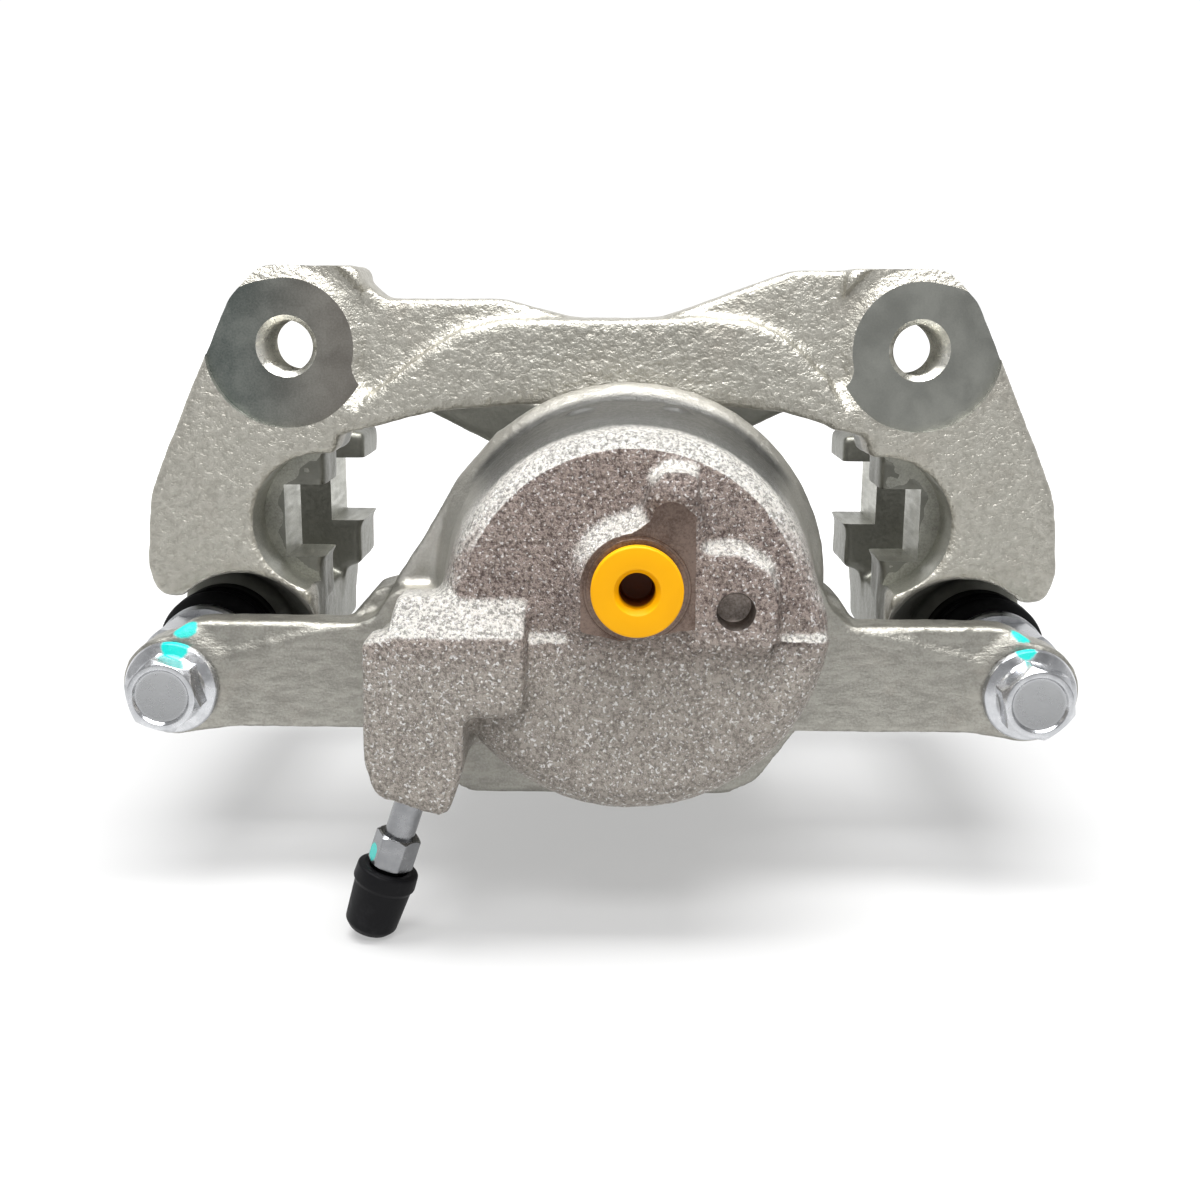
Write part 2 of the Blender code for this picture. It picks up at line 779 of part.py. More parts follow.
def turned_hexagon(name, start, end, across_flats):
    """A chamfered hexagon on the bleeder's axis."""
    corner_radius = across_flats / math.sqrt(3)
    hexagon = rod(name, bleeder_point(start), bleeder_point(end), corner_radius, segments=6)
    edge = across_flats / 2 - 0.1
    chamfer = [
        (0.0, start - 0.1),
        (edge, start - 0.1),
        (corner_radius + 0.1, start + 0.8),
        (corner_radius + 0.1, end - 0.8),
        (edge, end + 0.1),
        (0.0, end + 0.1),
    ]
    ring = turned(name + "_chamfer", chamfer, BLEEDER_SEAT, BLEEDER_AXIS, segments=20)
    boolean(hexagon, ring, "INTERSECT")
    return hexagon


def bleeder_cap(look):
    """The rubber cap over the bleeder's nipple."""
    profile = [
        (0.0, 25.0),
        (3.0, 25.0),
        (3.9, 20.0),
        (3.9, 16.2),
        (5.9, 16.2),
        (6.3, 16.9),
        (6.1, 18.4),
        (5.3, 27.6),
        (4.4, 29.4),
        (2.2, 30.2),
        (0.0, 30.2),
    ]
    cap = turned("bleeder_cap", profile, BLEEDER_SEAT, BLEEDER_AXIS, segments=20)
    return finish(cap, look)


# ---------------------------------------------------------------- guide pins


def guide_pin(side, look):
    """A sliding pin: wrench flats, boot collar, shank and, on the bushed side, a stepped tip."""
    name = "guide_pin_left" if side < 0 else "guide_pin_right"
    start = ARM_Y[1] + FIT_GAP
    tip = 73.0
    end = [(PIN_RADIUS, tip - 1.0), (PIN_RADIUS - 1.0, tip)]
    if side < 0:
        end = [(PIN_RADIUS, 56.0), (3.9, 56.0), (3.9, tip - 2.5), (4.7, tip - 2.0), (4.2, tip)]
    profile = [(0.0, start + 20.0), (4.2, start + 20.0), (4.2, start), (10.4, start)]
    profile += [(11.1, start + 0.7), (11.1, 9.5), (11.6, 10.0), (11.6, 12.2), (7.6, 12.3)]
    profile += [(7.6, 15.9), (7.8, 16.1), (7.8, 17.0), (PIN_RADIUS, 18.6)]
    profile += end + [(0.0, tip)]
    pin = turned(name, profile, (side * PIN_X, 0, PIN_Z), segments=24)
    for up in (-1, 1):
        x_range = (side * PIN_X - 14.0, side * PIN_X + 14.0)
        flat = block("wrench_flat", x_range, (start - 1.0, 9.0), (PIN_Z + up * 9.5, PIN_Z + up * 14.0))
        cut(pin, flat)
    return finish(pin, look)


def guide_pin_bushing(look):
    """The rubber sleeve on the stepped tip of the left pin."""
    profile = [(4.15, 56.4), (5.45, 56.4), (5.45, 70.2), (4.15, 70.2)]
    place = (-PIN_X, 0, PIN_Z)
    return finish(turned("guide_pin_bushing", profile, place, closed=True, segments=20), look)


def guide_pin_boot(side, look):
    """The bellows between the pin's collar and the bracket's neck."""
    name = "guide_pin_boot_left" if side < 0 else "guide_pin_boot_right"
    profile = [(8.7, 12.7), (8.7, 15.9), (9.6, 16.9), (12.7, 18.0), (10.4, 19.3)]
    profile += [(12.9, 20.6), (10.7, 22.0), (12.4, 23.3), (12.4, 28.4)]
    boot = turned(name, profile, (side * PIN_X, 0, PIN_Z), segments=24)
    return finish(shell(boot, 1.3), look)


def guide_pin_bolt(side, look):
    """A flanged hexagon bolt that clamps the arm to the guide pin."""
    name = "guide_pin_bolt_left" if side < 0 else "guide_pin_bolt_right"
    seat = BOLT_SEAT_Y - FIT_GAP
    top = seat - BOLT_HEAD_HEIGHT
    corner_radius = BOLT_ACROSS_FLATS / math.sqrt(3)
    profile = [
        (0.0, top + 2.0),
        (6.4, top + 2.0),
        (7.4, seat - 2.6),
        (BOLT_FLANGE_RADIUS - 0.5, seat - 1.4),
        (BOLT_FLANGE_RADIUS, seat - 0.9),
        (BOLT_FLANGE_RADIUS - 0.2, seat),
        (BOLT_SHANK_RADIUS, seat),
        (BOLT_SHANK_RADIUS, 12.0),
        (BOLT_SHANK_RADIUS - 0.8, 12.8),
        (0.0, 12.8),
    ]
    bolt = turned(name, profile, (side * PIN_X, 0, PIN_Z), segments=36)
    start = (side * PIN_X, seat - 1.2, PIN_Z)
    end = (side * PIN_X, top, PIN_Z)
    hexagon = rod("bolt_hexagon", start, end, corner_radius, segments=6, spin=BOLT_SPIN)
    dish = 5.9
    chamfer = [
        (0.0, top + 0.6),
        (dish - 0.5, top + 0.6),
        (dish, top - 0.1),
        (6.5, top - 0.1),
        (corner_radius + 0.1, top + 1.1),
        (corner_radius + 0.1, seat),
        (0.0, seat),
    ]
    ring = turned("bolt_chamfer", chamfer, (side * PIN_X, 0, PIN_Z), segments=36)
    boolean(hexagon, ring, "INTERSECT")
    join(bolt, hexagon)
    return finish(bolt, look)


def build():
    cast_bracket = material("cast_bracket", (0.50, 0.47, 0.43), 0.55, 0.6)
    cast_housing = material("cast_housing", (0.36, 0.32, 0.30), 0.6, 0.6)
    zinc = material("zinc", (0.66, 0.67, 0.68), 0.3, 1.0)
    chrome = material("chrome", (0.75, 0.76, 0.78), 0.15, 1.0)
    rubber = material("rubber", (0.02, 0.02, 0.022), 0.6, 0.0)
    plastic = material("yellow_plastic", (1.0, 0.55, 0.0), 0.4, 0.0)
    bracket(cast_bracket)
    housing(cast_housing)
    piston(chrome)
    piston_seal(rubber)
    piston_dust_boot(rubber)
    dust_boot_ring(zinc)
    inlet_plug(plastic)
    bleeder_screw(zinc)
    bleeder_cap(rubber)
    guide_pin_bushing(rubber)
    for side in (-1, 1):
        guide_pin(side, zinc)
        guide_pin_boot(side, rubber)
        guide_pin_bolt(side, zinc)


build()
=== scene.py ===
"""The looks of a floating disc brake caliper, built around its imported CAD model.

Frame: metres, with the origin midway between the two mounting holes on the machined ear faces,
+X along the bracket, +Y along the piston from inboard to outboard, +Z towards the wheel centre.
Shapes are written in millimetres, and MM turns them into metres.
"""

import json
import math

import bmesh
import bpy
import numpy as np
from mathutils import Matrix, Vector, noise


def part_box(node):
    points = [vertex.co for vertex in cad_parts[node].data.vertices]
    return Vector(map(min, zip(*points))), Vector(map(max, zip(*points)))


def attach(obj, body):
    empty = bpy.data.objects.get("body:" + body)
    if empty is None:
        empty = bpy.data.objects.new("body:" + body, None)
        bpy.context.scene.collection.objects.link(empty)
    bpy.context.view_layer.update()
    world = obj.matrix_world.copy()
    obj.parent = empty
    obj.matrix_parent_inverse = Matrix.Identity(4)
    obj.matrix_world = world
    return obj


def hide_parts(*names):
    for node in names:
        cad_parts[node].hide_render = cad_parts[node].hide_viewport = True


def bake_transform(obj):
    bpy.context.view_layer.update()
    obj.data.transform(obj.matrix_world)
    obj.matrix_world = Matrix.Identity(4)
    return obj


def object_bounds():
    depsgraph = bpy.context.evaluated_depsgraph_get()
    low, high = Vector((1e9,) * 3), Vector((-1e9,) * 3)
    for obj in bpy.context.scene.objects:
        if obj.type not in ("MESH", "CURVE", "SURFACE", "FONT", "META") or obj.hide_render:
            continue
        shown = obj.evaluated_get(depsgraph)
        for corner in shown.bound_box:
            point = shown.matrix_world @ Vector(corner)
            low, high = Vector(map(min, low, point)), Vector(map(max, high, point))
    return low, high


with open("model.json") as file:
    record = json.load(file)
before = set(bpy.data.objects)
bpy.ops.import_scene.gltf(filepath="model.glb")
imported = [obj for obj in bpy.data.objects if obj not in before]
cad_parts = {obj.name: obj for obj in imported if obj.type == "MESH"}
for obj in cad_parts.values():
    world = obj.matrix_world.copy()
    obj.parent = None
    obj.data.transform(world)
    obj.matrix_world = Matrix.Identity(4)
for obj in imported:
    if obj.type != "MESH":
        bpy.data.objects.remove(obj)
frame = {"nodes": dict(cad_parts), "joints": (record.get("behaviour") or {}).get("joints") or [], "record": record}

CAD_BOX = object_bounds()
MM = 0.001
SIDES = (-1, 1)


# ---------------------------------------------------------------- places, read from the frame


def span(node):
    """A CAD node's lowest and highest corner, in millimetres."""
    low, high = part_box(node)
    return low / MM, high / MM


def middle(node):
    low, high = span(node)
    return (low + high) / 2


def opening(name):
    """The lowest and highest corner of a stated opening, in millimetres."""
    found = [o for o in frame["record"]["physics"]["openings"] if o["name"] == name]
    low, high = found[0]["box_m"]
    return Vector(low) / MM, Vector(high) / MM


def joint(name):
    return [j for j in frame["joints"] if j["name"] == name][0]


EAR_X = sum((corner.x for corner in opening("ear_hole_right")), 0.0) / 2
EAR_FACE_Y = 0.0
EAR_CAST_Y = -2.0
EAR_BACK_Y = 16.0
SPOT_FACE_RADIUS = 17.0
EAR_HOLE_RADIUS = 5.35

BORE_X, BORE_Z = middle("piston").x, middle("piston").z
BORE_RADIUS = 28.6
PISTON_RADIUS = 28.4
OPEN_END_Y = 8.0
PIN_X, PIN_Z = middle("guide_pin_right").x, middle("guide_pin_right").z
ARM_BACK_Y = -5.0
BOLT_SEAT_Y = -15.3

INLET_X, INLET_Z = middle("inlet_plug").x, middle("inlet_plug").z
SEAT_PAD_Y = -50.0
END_FACE_Y = -46.8
LOCATING_HOLE = (25.0, -45.2)
LOCATING_RADIUS = 3.3

BLEEDER_SEAT = Vector(joint("bleeder_turn")["pos_m"]) / MM
BLEEDER_AXIS = Vector(joint("bleeder_turn")["axis"]).normalized()

WEB_Y = 1.0
POCKET = (60.0, -37.5)
POCKET_RADIUS = 14.9
PAD_GUIDE_Y = 10.0
NOTCH_FILLS = {"inboard_notch": (10.2, 26.4), "outboard_notch": (62.2, 83.8)}
NOTCH_Z = (-46.9, -30.6)
NOTCH_INNER_X, ABUTMENT_X = 50.0, 70.6
PIN_BORE_RADIUS = 5.7
PIN_BORE_Y = (20.0, 78.0)

WELD_DISTANCE = 0.001
CAST_VOXEL = 0.72
BRACKET_ROUNDING = 11
HOUSING_ROUNDING = 4


# ---------------------------------------------------------------- shape tools


def new_object(name, mesh):
    obj = bpy.data.objects.new(name, mesh)
    bpy.context.scene.collection.objects.link(obj)
    return obj


def mesh_from(edit, name):
    mesh = bpy.data.meshes.new(name)
    edit.to_mesh(mesh)
    edit.free()
    return mesh


def final_mesh(obj):
    """A mesh of the object, with its modifiers and its place applied."""
    bpy.context.view_layer.update()
    graph = bpy.context.evaluated_depsgraph_get()
    mesh = bpy.data.meshes.new_from_object(obj.evaluated_get(graph))
    mesh.transform(obj.matrix_world)
    return mesh


def settle(obj):
    """Applies the modifiers and the object's place to its mesh."""
    mesh = final_mesh(obj)
    obj.modifiers.clear()
    obj.data = mesh
    obj.matrix_world = Matrix.Identity(4)
    return obj


def weld(obj):
    """Merges the points that share a place, and turns all faces outwards."""
    edit = bmesh.new()
    edit.from_mesh(obj.data)
    bmesh.ops.remove_doubles(edit, verts=edit.verts, dist=WELD_DISTANCE * MM)
    bmesh.ops.recalc_face_normals(edit, faces=edit.faces)
    edit.to_mesh(obj.data)
    edit.free()
    return obj


def copy_of(node, shift=(0, 0, 0)):
    """A welded copy of a CAD node's shape, moved by shift."""
    mesh = frame["nodes"][node].data.copy()
    mesh.materials.clear()
    mesh.transform(Matrix.Translation(Vector(shift) * MM))
    return weld(new_object(node + "_copy", mesh))


def combine(base, tool, operation):
    """A Boolean of two closed shapes. The tool is used up, and its faces keep their material."""
    modifier = base.modifiers.new(operation, "BOOLEAN")
    modifier.operation = operation
    modifier.solver = "MANIFOLD"
    modifier.material_mode = "TRANSFER"
    modifier.object = tool
    settle(base)
    bpy.data.objects.remove(tool, do_unlink=True)
    return base


def cut(base, *tools):
    for tool in tools:
        combine(base, tool, "DIFFERENCE")
    return base


def painted(obj, look):
    """Gives a shape one material, before or after it is cut."""
    obj.data.materials.clear()
    obj.data.materials.append(look)
    return obj


def arc(x, z, radius, start, end, steps=16):
    """Points on an arc in the X-Z plane. Angles in degrees, from +X towards +Z."""
    angles = [math.radians(start + (end - start) * i / steps) for i in range(steps + 1)]
    return [(x + radius * math.cos(a), z + radius * math.sin(a)) for a in angles]


def rounded(corners, steps=6, closed=True):
    """A line through corners (x, z) or (x, z, radius), with each given radius made an arc."""
    line = []
    for i, corner in enumerate(corners):
        here = Vector(corner[:2])
        at_end = not closed and i in (0, len(corners) - 1)
        if len(corner) == 2 or at_end:
            line.append(tuple(here))
            continue
        before = (Vector(corners[i - 1][:2]) - here).normalized()
        after = (Vector(corners[(i + 1) % len(corners)][:2]) - here).normalized()
        half = before.angle(after) / 2
        centre = here + (before + after).normalized() * corner[2] / math.sin(half)
        start = here + before * corner[2] / math.tan(half) - centre
        end = here + after * corner[2] / math.tan(half) - centre
        turn = start.angle_signed(end)
        for step in range(steps + 1):
            spoke = start.copy()
            spoke.rotate(Matrix.Rotation(-turn * step / steps, 2))
            line.append(tuple(centre + spoke))
    return line


def smooth_line(points, steps=6):
    """A Catmull-Rom curve through the points."""
    points = [Vector(p) for p in points]
    padded = [2 * points[0] - points[1], *points, 2 * points[-1] - points[-2]]
    line = []
    for a, b, c, d in zip(padded, padded[1:], padded[2:], padded[3:]):
        for step in range(steps):
            t = step / steps
            square = (2 * a - 5 * b + 4 * c - d) * t**2
            cube = (3 * b - a - 3 * c + d) * t**3
            line.append(0.5 * (2 * b + (c - a) * t + square + cube))
    return line + [points[-1]]


def plate(name, outline, limits, slope=0.0, sideways=False):
    """A flat outline in the X-Z plane, extruded along Y between limits.

    With slope, its faces keep the outline, and its sides spread out from them at 45 degrees by that
    much. Sideways, the outline lies in the Y-Z plane and the limits are along X.
    """
    curve = bpy.data.curves.new(name, "CURVE")
    curve.dimensions = "2D"
    curve.fill_mode = "BOTH"
    curve.bevel_depth = slope * MM
    curve.bevel_resolution = 0
    curve.extrude = ((limits[1] - limits[0]) / 2 - slope) * MM
    spline = curve.splines.new("POLY")
    spline.points.add(len(outline) - 1)
    spline.use_cyclic_u = True
    for point, (across, z) in zip(spline.points, outline):
        point.co = (across * MM, z * MM, 0.0, 1.0)
    guide = new_object(name + "_outline", curve)
    guide.rotation_euler = (math.pi / 2, 0.0, math.pi / 2 if sideways else 0.0)
    guide.location[0 if sideways else 1] = (limits[0] + limits[1]) / 2 * MM
    mesh = final_mesh(guide)
    bpy.data.objects.remove(guide, do_unlink=True)
    return weld(new_object(name, mesh))


def block(name, low, high):
    """A box between two corners."""
    low, high = Vector(low), Vector(high)
    edit = bmesh.new()
    bmesh.ops.create_cube(edit, size=1.0)
    bmesh.ops.scale(edit, vec=(high - low) * MM, verts=edit.verts)
    bmesh.ops.translate(edit, vec=(low + high) / 2 * MM, verts=edit.verts)
    return new_object(name, mesh_from(edit, name))


def rod(name, start, end, radius, segments=64, spin=0.0):
    """A cylinder or prism from one point to another."""
    start, end = Vector(start), Vector(end)
    edit = bmesh.new()
    bmesh.ops.create_cone(
        edit,
        cap_ends=True,
        segments=segments,
        radius1=radius * MM,
        radius2=radius * MM,
        depth=(end - start).length * MM,
    )
    turn_to = (end - start).to_track_quat("Z", "Y").to_matrix().to_4x4()
    spin_about = Matrix.Rotation(math.radians(spin), 4, "Z")
    mesh = mesh_from(edit, name)
    mesh.transform(Matrix.Translation((start + end) / 2 * MM) @ turn_to @ spin_about)
    return new_object(name, mesh)


def turned(name, profile, place, direction=(0, 1, 0), closed=False, segments=96):
    """A turned shape. The profile lists (radius, distance along direction) from place."""
    points = [(radius * MM, 0.0, -along * MM) for radius, along in profile]
    edges = [(i, i + 1) for i in range(len(points) - 1)]
    if closed:
        edges.append((len(points) - 1, 0))
    mesh = bpy.data.meshes.new(name)
    mesh.from_pydata(points, edges, [])
    obj = new_object(name, mesh)
    obj.location = Vector(place) * MM
    obj.rotation_mode = "QUATERNION"
    obj.rotation_quaternion = (-Vector(direction)).to_track_quat("Z", "Y")
    screw = obj.modifiers.new("turning", "SCREW")
    screw.steps = segments
    screw.render_steps = segments
    screw.use_merge_vertices = True
    screw.merge_threshold = 0.000005
    return weld(settle(obj))


def sleeve(name, centre_line, thickness, place, segments=96):
    """A turned rubber wall of even thickness around its centre line of (radius, along) points."""
    line = smooth_line(centre_line)
    outer, inner = [], []
    for i, point in enumerate(line):
        ahead = line[min(i + 1, len(line) - 1)] - line[max(i - 1, 0)]
        across = Vector((-ahead.y, ahead.x)).normalized() * thickness / 2
        outer.append(tuple(point - across))
        inner.append(tuple(point + across))
    return turned(name, outer + inner[::-1], place, closed=True, segments=segments)


def shade(obj, angle=35):
    obj.data.shade_smooth()
    obj.data.set_sharp_from_angle(angle=math.radians(angle))
    return obj


def shade_casting(obj):
    """Smooth shading with crisp edges round every machined face."""
    obj.data.shade_smooth()
    obj.data.set_sharp_from_angle(angle=math.radians(40))
    edit = bmesh.new()
    edit.from_mesh(obj.data)
    for edge in edit.edges:
        if len({face.material_index for face in edge.link_faces}) > 1:
            edge.smooth = False
    edit.to_mesh(obj.data)
    edit.free()


def melt(name, pieces, voxel, rounding):
    """Melts overlapping closed shapes into one skin with the soft edges of a casting."""
    edit = bmesh.new()
    for piece in pieces:
        edit.from_mesh(piece.data)
        bpy.data.objects.remove(piece, do_unlink=True)
    obj = new_object(name, mesh_from(edit, name))
    remesh = obj.modifiers.new("skin", "REMESH")
    remesh.mode = "VOXEL"
    remesh.voxel_size = voxel * MM
    soften = obj.modifiers.new("soften", "SMOOTH")
    soften.factor = 0.6
    soften.iterations = rounding
    return settle(obj)


def points_of(obj):
    """The places in millimetres and the normals of all points."""
    mesh = obj.data
    places = np.empty(len(mesh.vertices) * 3, np.float32)
    mesh.vertices.foreach_get("co", places)
    normals = np.empty(len(mesh.vertices) * 3, np.float32)
    mesh.vertices.foreach_get("normal", normals)
    return places.reshape(-1, 3) / MM, normals.reshape(-1, 3)


def move_points(obj, places):
    obj.data.vertices.foreach_set("co", (places * MM).astype(np.float32).ravel())
    obj.data.update()


def sand(obj, *layers):
    """Moves the points along their normals by smooth noise, in layers of (height, width)."""
    places, normals = points_of(obj)
    height = np.zeros(len(places))
    for depth, width in layers:
        height += [depth * noise.noise(Vector(p) / width) for p in places.tolist()]
    move_points(obj, places + normals * height[:, None])


def step_up(value, width=1.0):
    """0 below 0, 1 above width, with a smooth rise between them."""
    t = np.clip(value / width, 0.0, 1.0)
    return t * t * (3 - 2 * t)


# ---------------------------------------------------------------- material tools


class Look:
    """A material whose nodes are added one call at a time."""

    def __init__(self, name, colour, roughness, metallic):
        self.material = bpy.data.materials.new(name)
        self.material.use_nodes = True
        self.nodes = self.material.node_tree.nodes
        self.links = self.material.node_tree.links
        self.shader = self.nodes["Principled BSDF"]
        self.set(self.shader, "Base Color", colour)
        self.set(self.shader, "Roughness", roughness)
        self.set(self.shader, "Metallic", metallic)
        coordinates = self.add("ShaderNodeTexCoord")
        self.place = coordinates.outputs["Object"]
        self.facing = coordinates.outputs["Normal"]

    def set(self, node, key, value):
        socket = node.inputs[key]
        if isinstance(value, bpy.types.NodeSocket):
            self.links.new(value, socket)
        elif isinstance(value, tuple) and len(value) == 3 and len(socket.default_value) == 4:
            socket.default_value = (*value, 1.0)
        else:
            socket.default_value = value

    def add(self, kind, inputs=(), **settings):
        node = self.nodes.new(kind)
        for key, value in settings.items():
            setattr(node, key, value)
        for key, value in dict(inputs).items():
            self.set(node, key, value)
        return node

    def maths(self, operation, a, b=0.0, c=0.0):
        node = self.add("ShaderNodeMath", {0: a, 1: b, 2: c}, operation=operation)
        return node.outputs[0]

    def grain(self, width, detail=3.0, rough=0.6, stretch=(1, 1, 1), turn=(0, 0, 0)):
        """Noise from 0 to 1 with grains of that width in millimetres."""
        where = self.add(
            "ShaderNodeMapping", {"Vector": self.place, "Scale": stretch, "Rotation": turn}
        ).outputs[0]
        inputs = {"Vector": where, "Scale": 1 / (width * MM), "Detail": detail, "Roughness": rough}
        return self.add("ShaderNodeTexNoise", inputs).outputs["Fac"]

    def ramp(self, value, low, high, start=0.0, end=1.0):
        """Maps value from low..high to start..end, with smooth ends."""
        inputs = {"Value": value, "From Min": low, "From Max": high, "To Min": start, "To Max": end}
        return self.add("ShaderNodeMapRange", inputs, interpolation_type="SMOOTHSTEP").outputs[0]

    def mix(self, share, a, b):
        node = self.add("ShaderNodeMix", data_type="RGBA")
        for index, value in ((0, share), (6, a), (7, b)):
            self.set(node, index, value)
        return node.outputs[2]

    def axis(self, letter):
        """One coordinate of the place, in millimetres."""
        parts = self.add("ShaderNodeSeparateXYZ", {"Vector": self.place})
        return self.maths("MULTIPLY", parts.outputs[letter], 1 / MM)

    def near(self, point, radius, ragged=0.5):
        """1 within radius of a point in millimetres, fading to 0 with a ragged edge."""
        gap = self.add(
            "ShaderNodeVectorMath",
            {0: self.place, 1: tuple(c * MM for c in point)},
            operation="DISTANCE",
        ).outputs["Value"]
        uneven = self.maths("MULTIPLY_ADD", self.grain(1.6), ragged * radius, -ragged * radius / 2)
        reach = self.maths("MULTIPLY_ADD", gap, 1 / MM, uneven)
        return self.ramp(reach, radius * 0.75, radius, 1.0, 0.0)

    def faces_up(self, low, high):
        """1 where the surface faces up, fading to 0 where it is upright."""
        parts = self.add("ShaderNodeSeparateXYZ", {"Vector": self.facing})
        return self.ramp(parts.outputs["Z"], low, high)

    def bump(self, height, depth, strength=1.0):
        """Bends the shading by a height from 0 to 1 that stands for depth millimetres."""
        inputs = {"Height": height, "Distance": depth * MM, "Strength": strength}
        self.set(self.shader, "Normal", self.add("ShaderNodeBump", inputs).outputs[0])


TEAL = (0.0, 0.50, 0.45)


def paint_marks(look, colour, marks):
    """Dabs of teal marking paint over a metal's colour, each a (point, radius)."""
    cover = None
    for point, radius in marks:
        dab = look.near(point, radius)
        cover = dab if cover is None else look.maths("MAXIMUM", cover, dab)
    look.set(look.shader, "Base Color", look.mix(cover, colour, TEAL))
    bare = look.maths("SUBTRACT", 1.0, cover)
    look.set(look.shader, "Metallic", look.maths("MULTIPLY", bare, 0.95))


BOLT_MARKS = [((-88.3, -17.0, -61.2), 3.3), ((88.0, -17.0, -60.0), 2.6)]
ARM_MARKS = [((-86.9, -13.8, -57.7), 2.8), ((88.3, -13.8, -57.0), 2.8)]


def cast_bracket_look():
    """Softly rippled silver casting, darker and smoother on its lower part behind the web, where a dark milled
    colour also stands for painted shade.
    """
    look = Look("bracket_casting", (0.431, 0.41, 0.369), 0.45, 0.9)
    ripple = look.grain(1.9, 3.0, 0.55, stretch=(1.0, 1.0, 1.3), turn=(0, math.radians(40), 0))
    fine = look.grain(0.7, 3.0, 0.65)
    stain = look.grain(16.0, 4.0, 0.65)
    height = look.maths("MULTIPLY_ADD", fine, 0.3, look.maths("MULTIPLY", ripple, 0.7))
    light = look.mix(look.ramp(height, 0.35, 0.62), (0.41, 0.395, 0.349), (0.513, 0.498, 0.446))
    cast = look.mix(look.ramp(stain, 0.5, 0.8, 0.0, 0.35), light, (0.41, 0.369, 0.318))
    # Low down behind the web the casting takes a dark milled colour. It is partly the milled finish and partly
    # painted shade of the recess between the legs.
    behind = look.ramp(look.axis("Y"), WEB_Y + 3.0, WEB_Y + 6.0)
    guides = look.maths("MULTIPLY", behind, look.ramp(look.axis("Z"), -19.0, -15.0, 1.0, 0.0))
    milled = look.mix(fine, (0.175, 0.175, 0.154), (0.257, 0.257, 0.226))
    look.set(look.shader, "Base Color", look.mix(guides, cast, milled))
    look.set(look.shader, "Roughness", look.ramp(fine, 0.3, 0.7, 0.36, 0.5))
    rough = look.ramp(guides, 0.0, 1.0, 1.0, 0.15)
    look.bump(look.maths("MULTIPLY", height, rough), 0.7)
    return look.material


def cast_housing_look():
    """Rough and brown on the end face, smoother and lighter behind it, dark on top of the cylinder. Painted
    highlights lighten the upward-facing places, the part above the arms and small glints.
    """
    look = Look("housing_casting", (0.54, 0.513, 0.459), 0.4, 0.92)
    grit = look.grain(0.75, 4.0, 0.75)
    fine = look.grain(0.5, 2.0, 0.5)
    glint = look.grain(0.6, 1.0, 0.5)
    stain = look.grain(11.0, 3.0, 0.6)
    rough_part = look.ramp(look.axis("Y"), -38.0, -24.0, 1.0, 0.0)
    upper = look.ramp(look.axis("Z"), -60.0, -44.0, 0.0, 1.0)
    shade_of = look.mix(upper, (0.41, 0.375, 0.335), (0.36, 0.30, 0.268))
    dark = look.mix(upper, (0.20, 0.18, 0.16), (0.11, 0.085, 0.078))
    speckled = look.mix(look.ramp(grit, 0.36, 0.60), dark, shade_of)
    # Painted highlight: places that face up are painted pale, as overhead light would make them look.
    pale = look.mix(look.ramp(grit, 0.40, 0.56), (0.30, 0.29, 0.27), (0.74, 0.72, 0.68))
    speckled = look.mix(look.faces_up(0.12, 0.5), speckled, pale)
    # Painted glints: small near-white flecks stand for grains that catch the light.
    speckled = look.mix(look.ramp(glint, 0.58, 0.72, 0.0, 0.6), speckled, (0.92, 0.92, 0.92))
    flow = look.grain(2.8, 3.0, 0.6, stretch=(0.6, 1.0, 1.6))
    smooth_tone = look.maths("MULTIPLY_ADD", flow, 0.6, look.maths("MULTIPLY", fine, 0.4))
    smooth = look.mix(look.ramp(smooth_tone, 0.36, 0.64), (0.30, 0.29, 0.26), (0.41, 0.40, 0.36))
    # Painted light: the smooth part above the arms is painted lighter, as its upper side catches more light.
    lit_above_arms = look.ramp(look.axis("Z"), -54.0, -40.0)
    smooth = look.mix(lit_above_arms, smooth, look.mix(fine, (0.44, 0.43, 0.40), (0.60, 0.585, 0.54)))
    body = look.mix(rough_part, smooth, speckled)
    colour = look.mix(look.ramp(stain, 0.55, 0.85, 0.0, 0.3), body, (0.459, 0.405, 0.351))
    on_top = look.ramp(look.axis("Z"), -30.0, -22.0)
    forward = look.ramp(look.axis("Y"), -14.5, -12.0, 1.0, 0.0)
    behind = look.ramp(look.axis("Y"), -42.0, -38.0)
    band = look.maths("MULTIPLY", on_top, look.maths("MULTIPLY", forward, behind))
    paint_marks(look, look.mix(band, colour, (0.13, 0.13, 0.125)), ARM_MARKS)
    look.set(look.shader, "Roughness", look.ramp(grit, 0.3, 0.7, 0.32, 0.5))
    amount = look.maths("MULTIPLY_ADD", rough_part, 0.8, 0.2)
    height = look.maths("MULTIPLY", grit, amount)
    look.bump(look.maths("MULTIPLY_ADD", flow, 0.35, height), 0.7)
    return look.material


def machined_look(name, dark, light, roughness):
    """Milled or turned metal: fine satin grain and faint streaks."""
    look = Look(name, dark, roughness, 0.95)
    satin = look.grain(0.45, 4.0, 0.7)
    streak = look.grain(1.6, 3.0, 0.6, stretch=(1.0, 0.15, 1.0))
    cloud = look.grain(9.0, 3.0, 0.6)
    tone = look.maths("MULTIPLY_ADD", satin, 0.5, look.maths("MULTIPLY", cloud, 0.5))
    look.set(look.shader, "Base Color", look.mix(look.ramp(tone, 0.36, 0.62), dark, light))
    look.set(look.shader, "Roughness", look.ramp(streak, 0.3, 0.7, roughness - 0.06, roughness + 0.08))
    look.bump(satin, 0.05, 0.6)
    return look.material


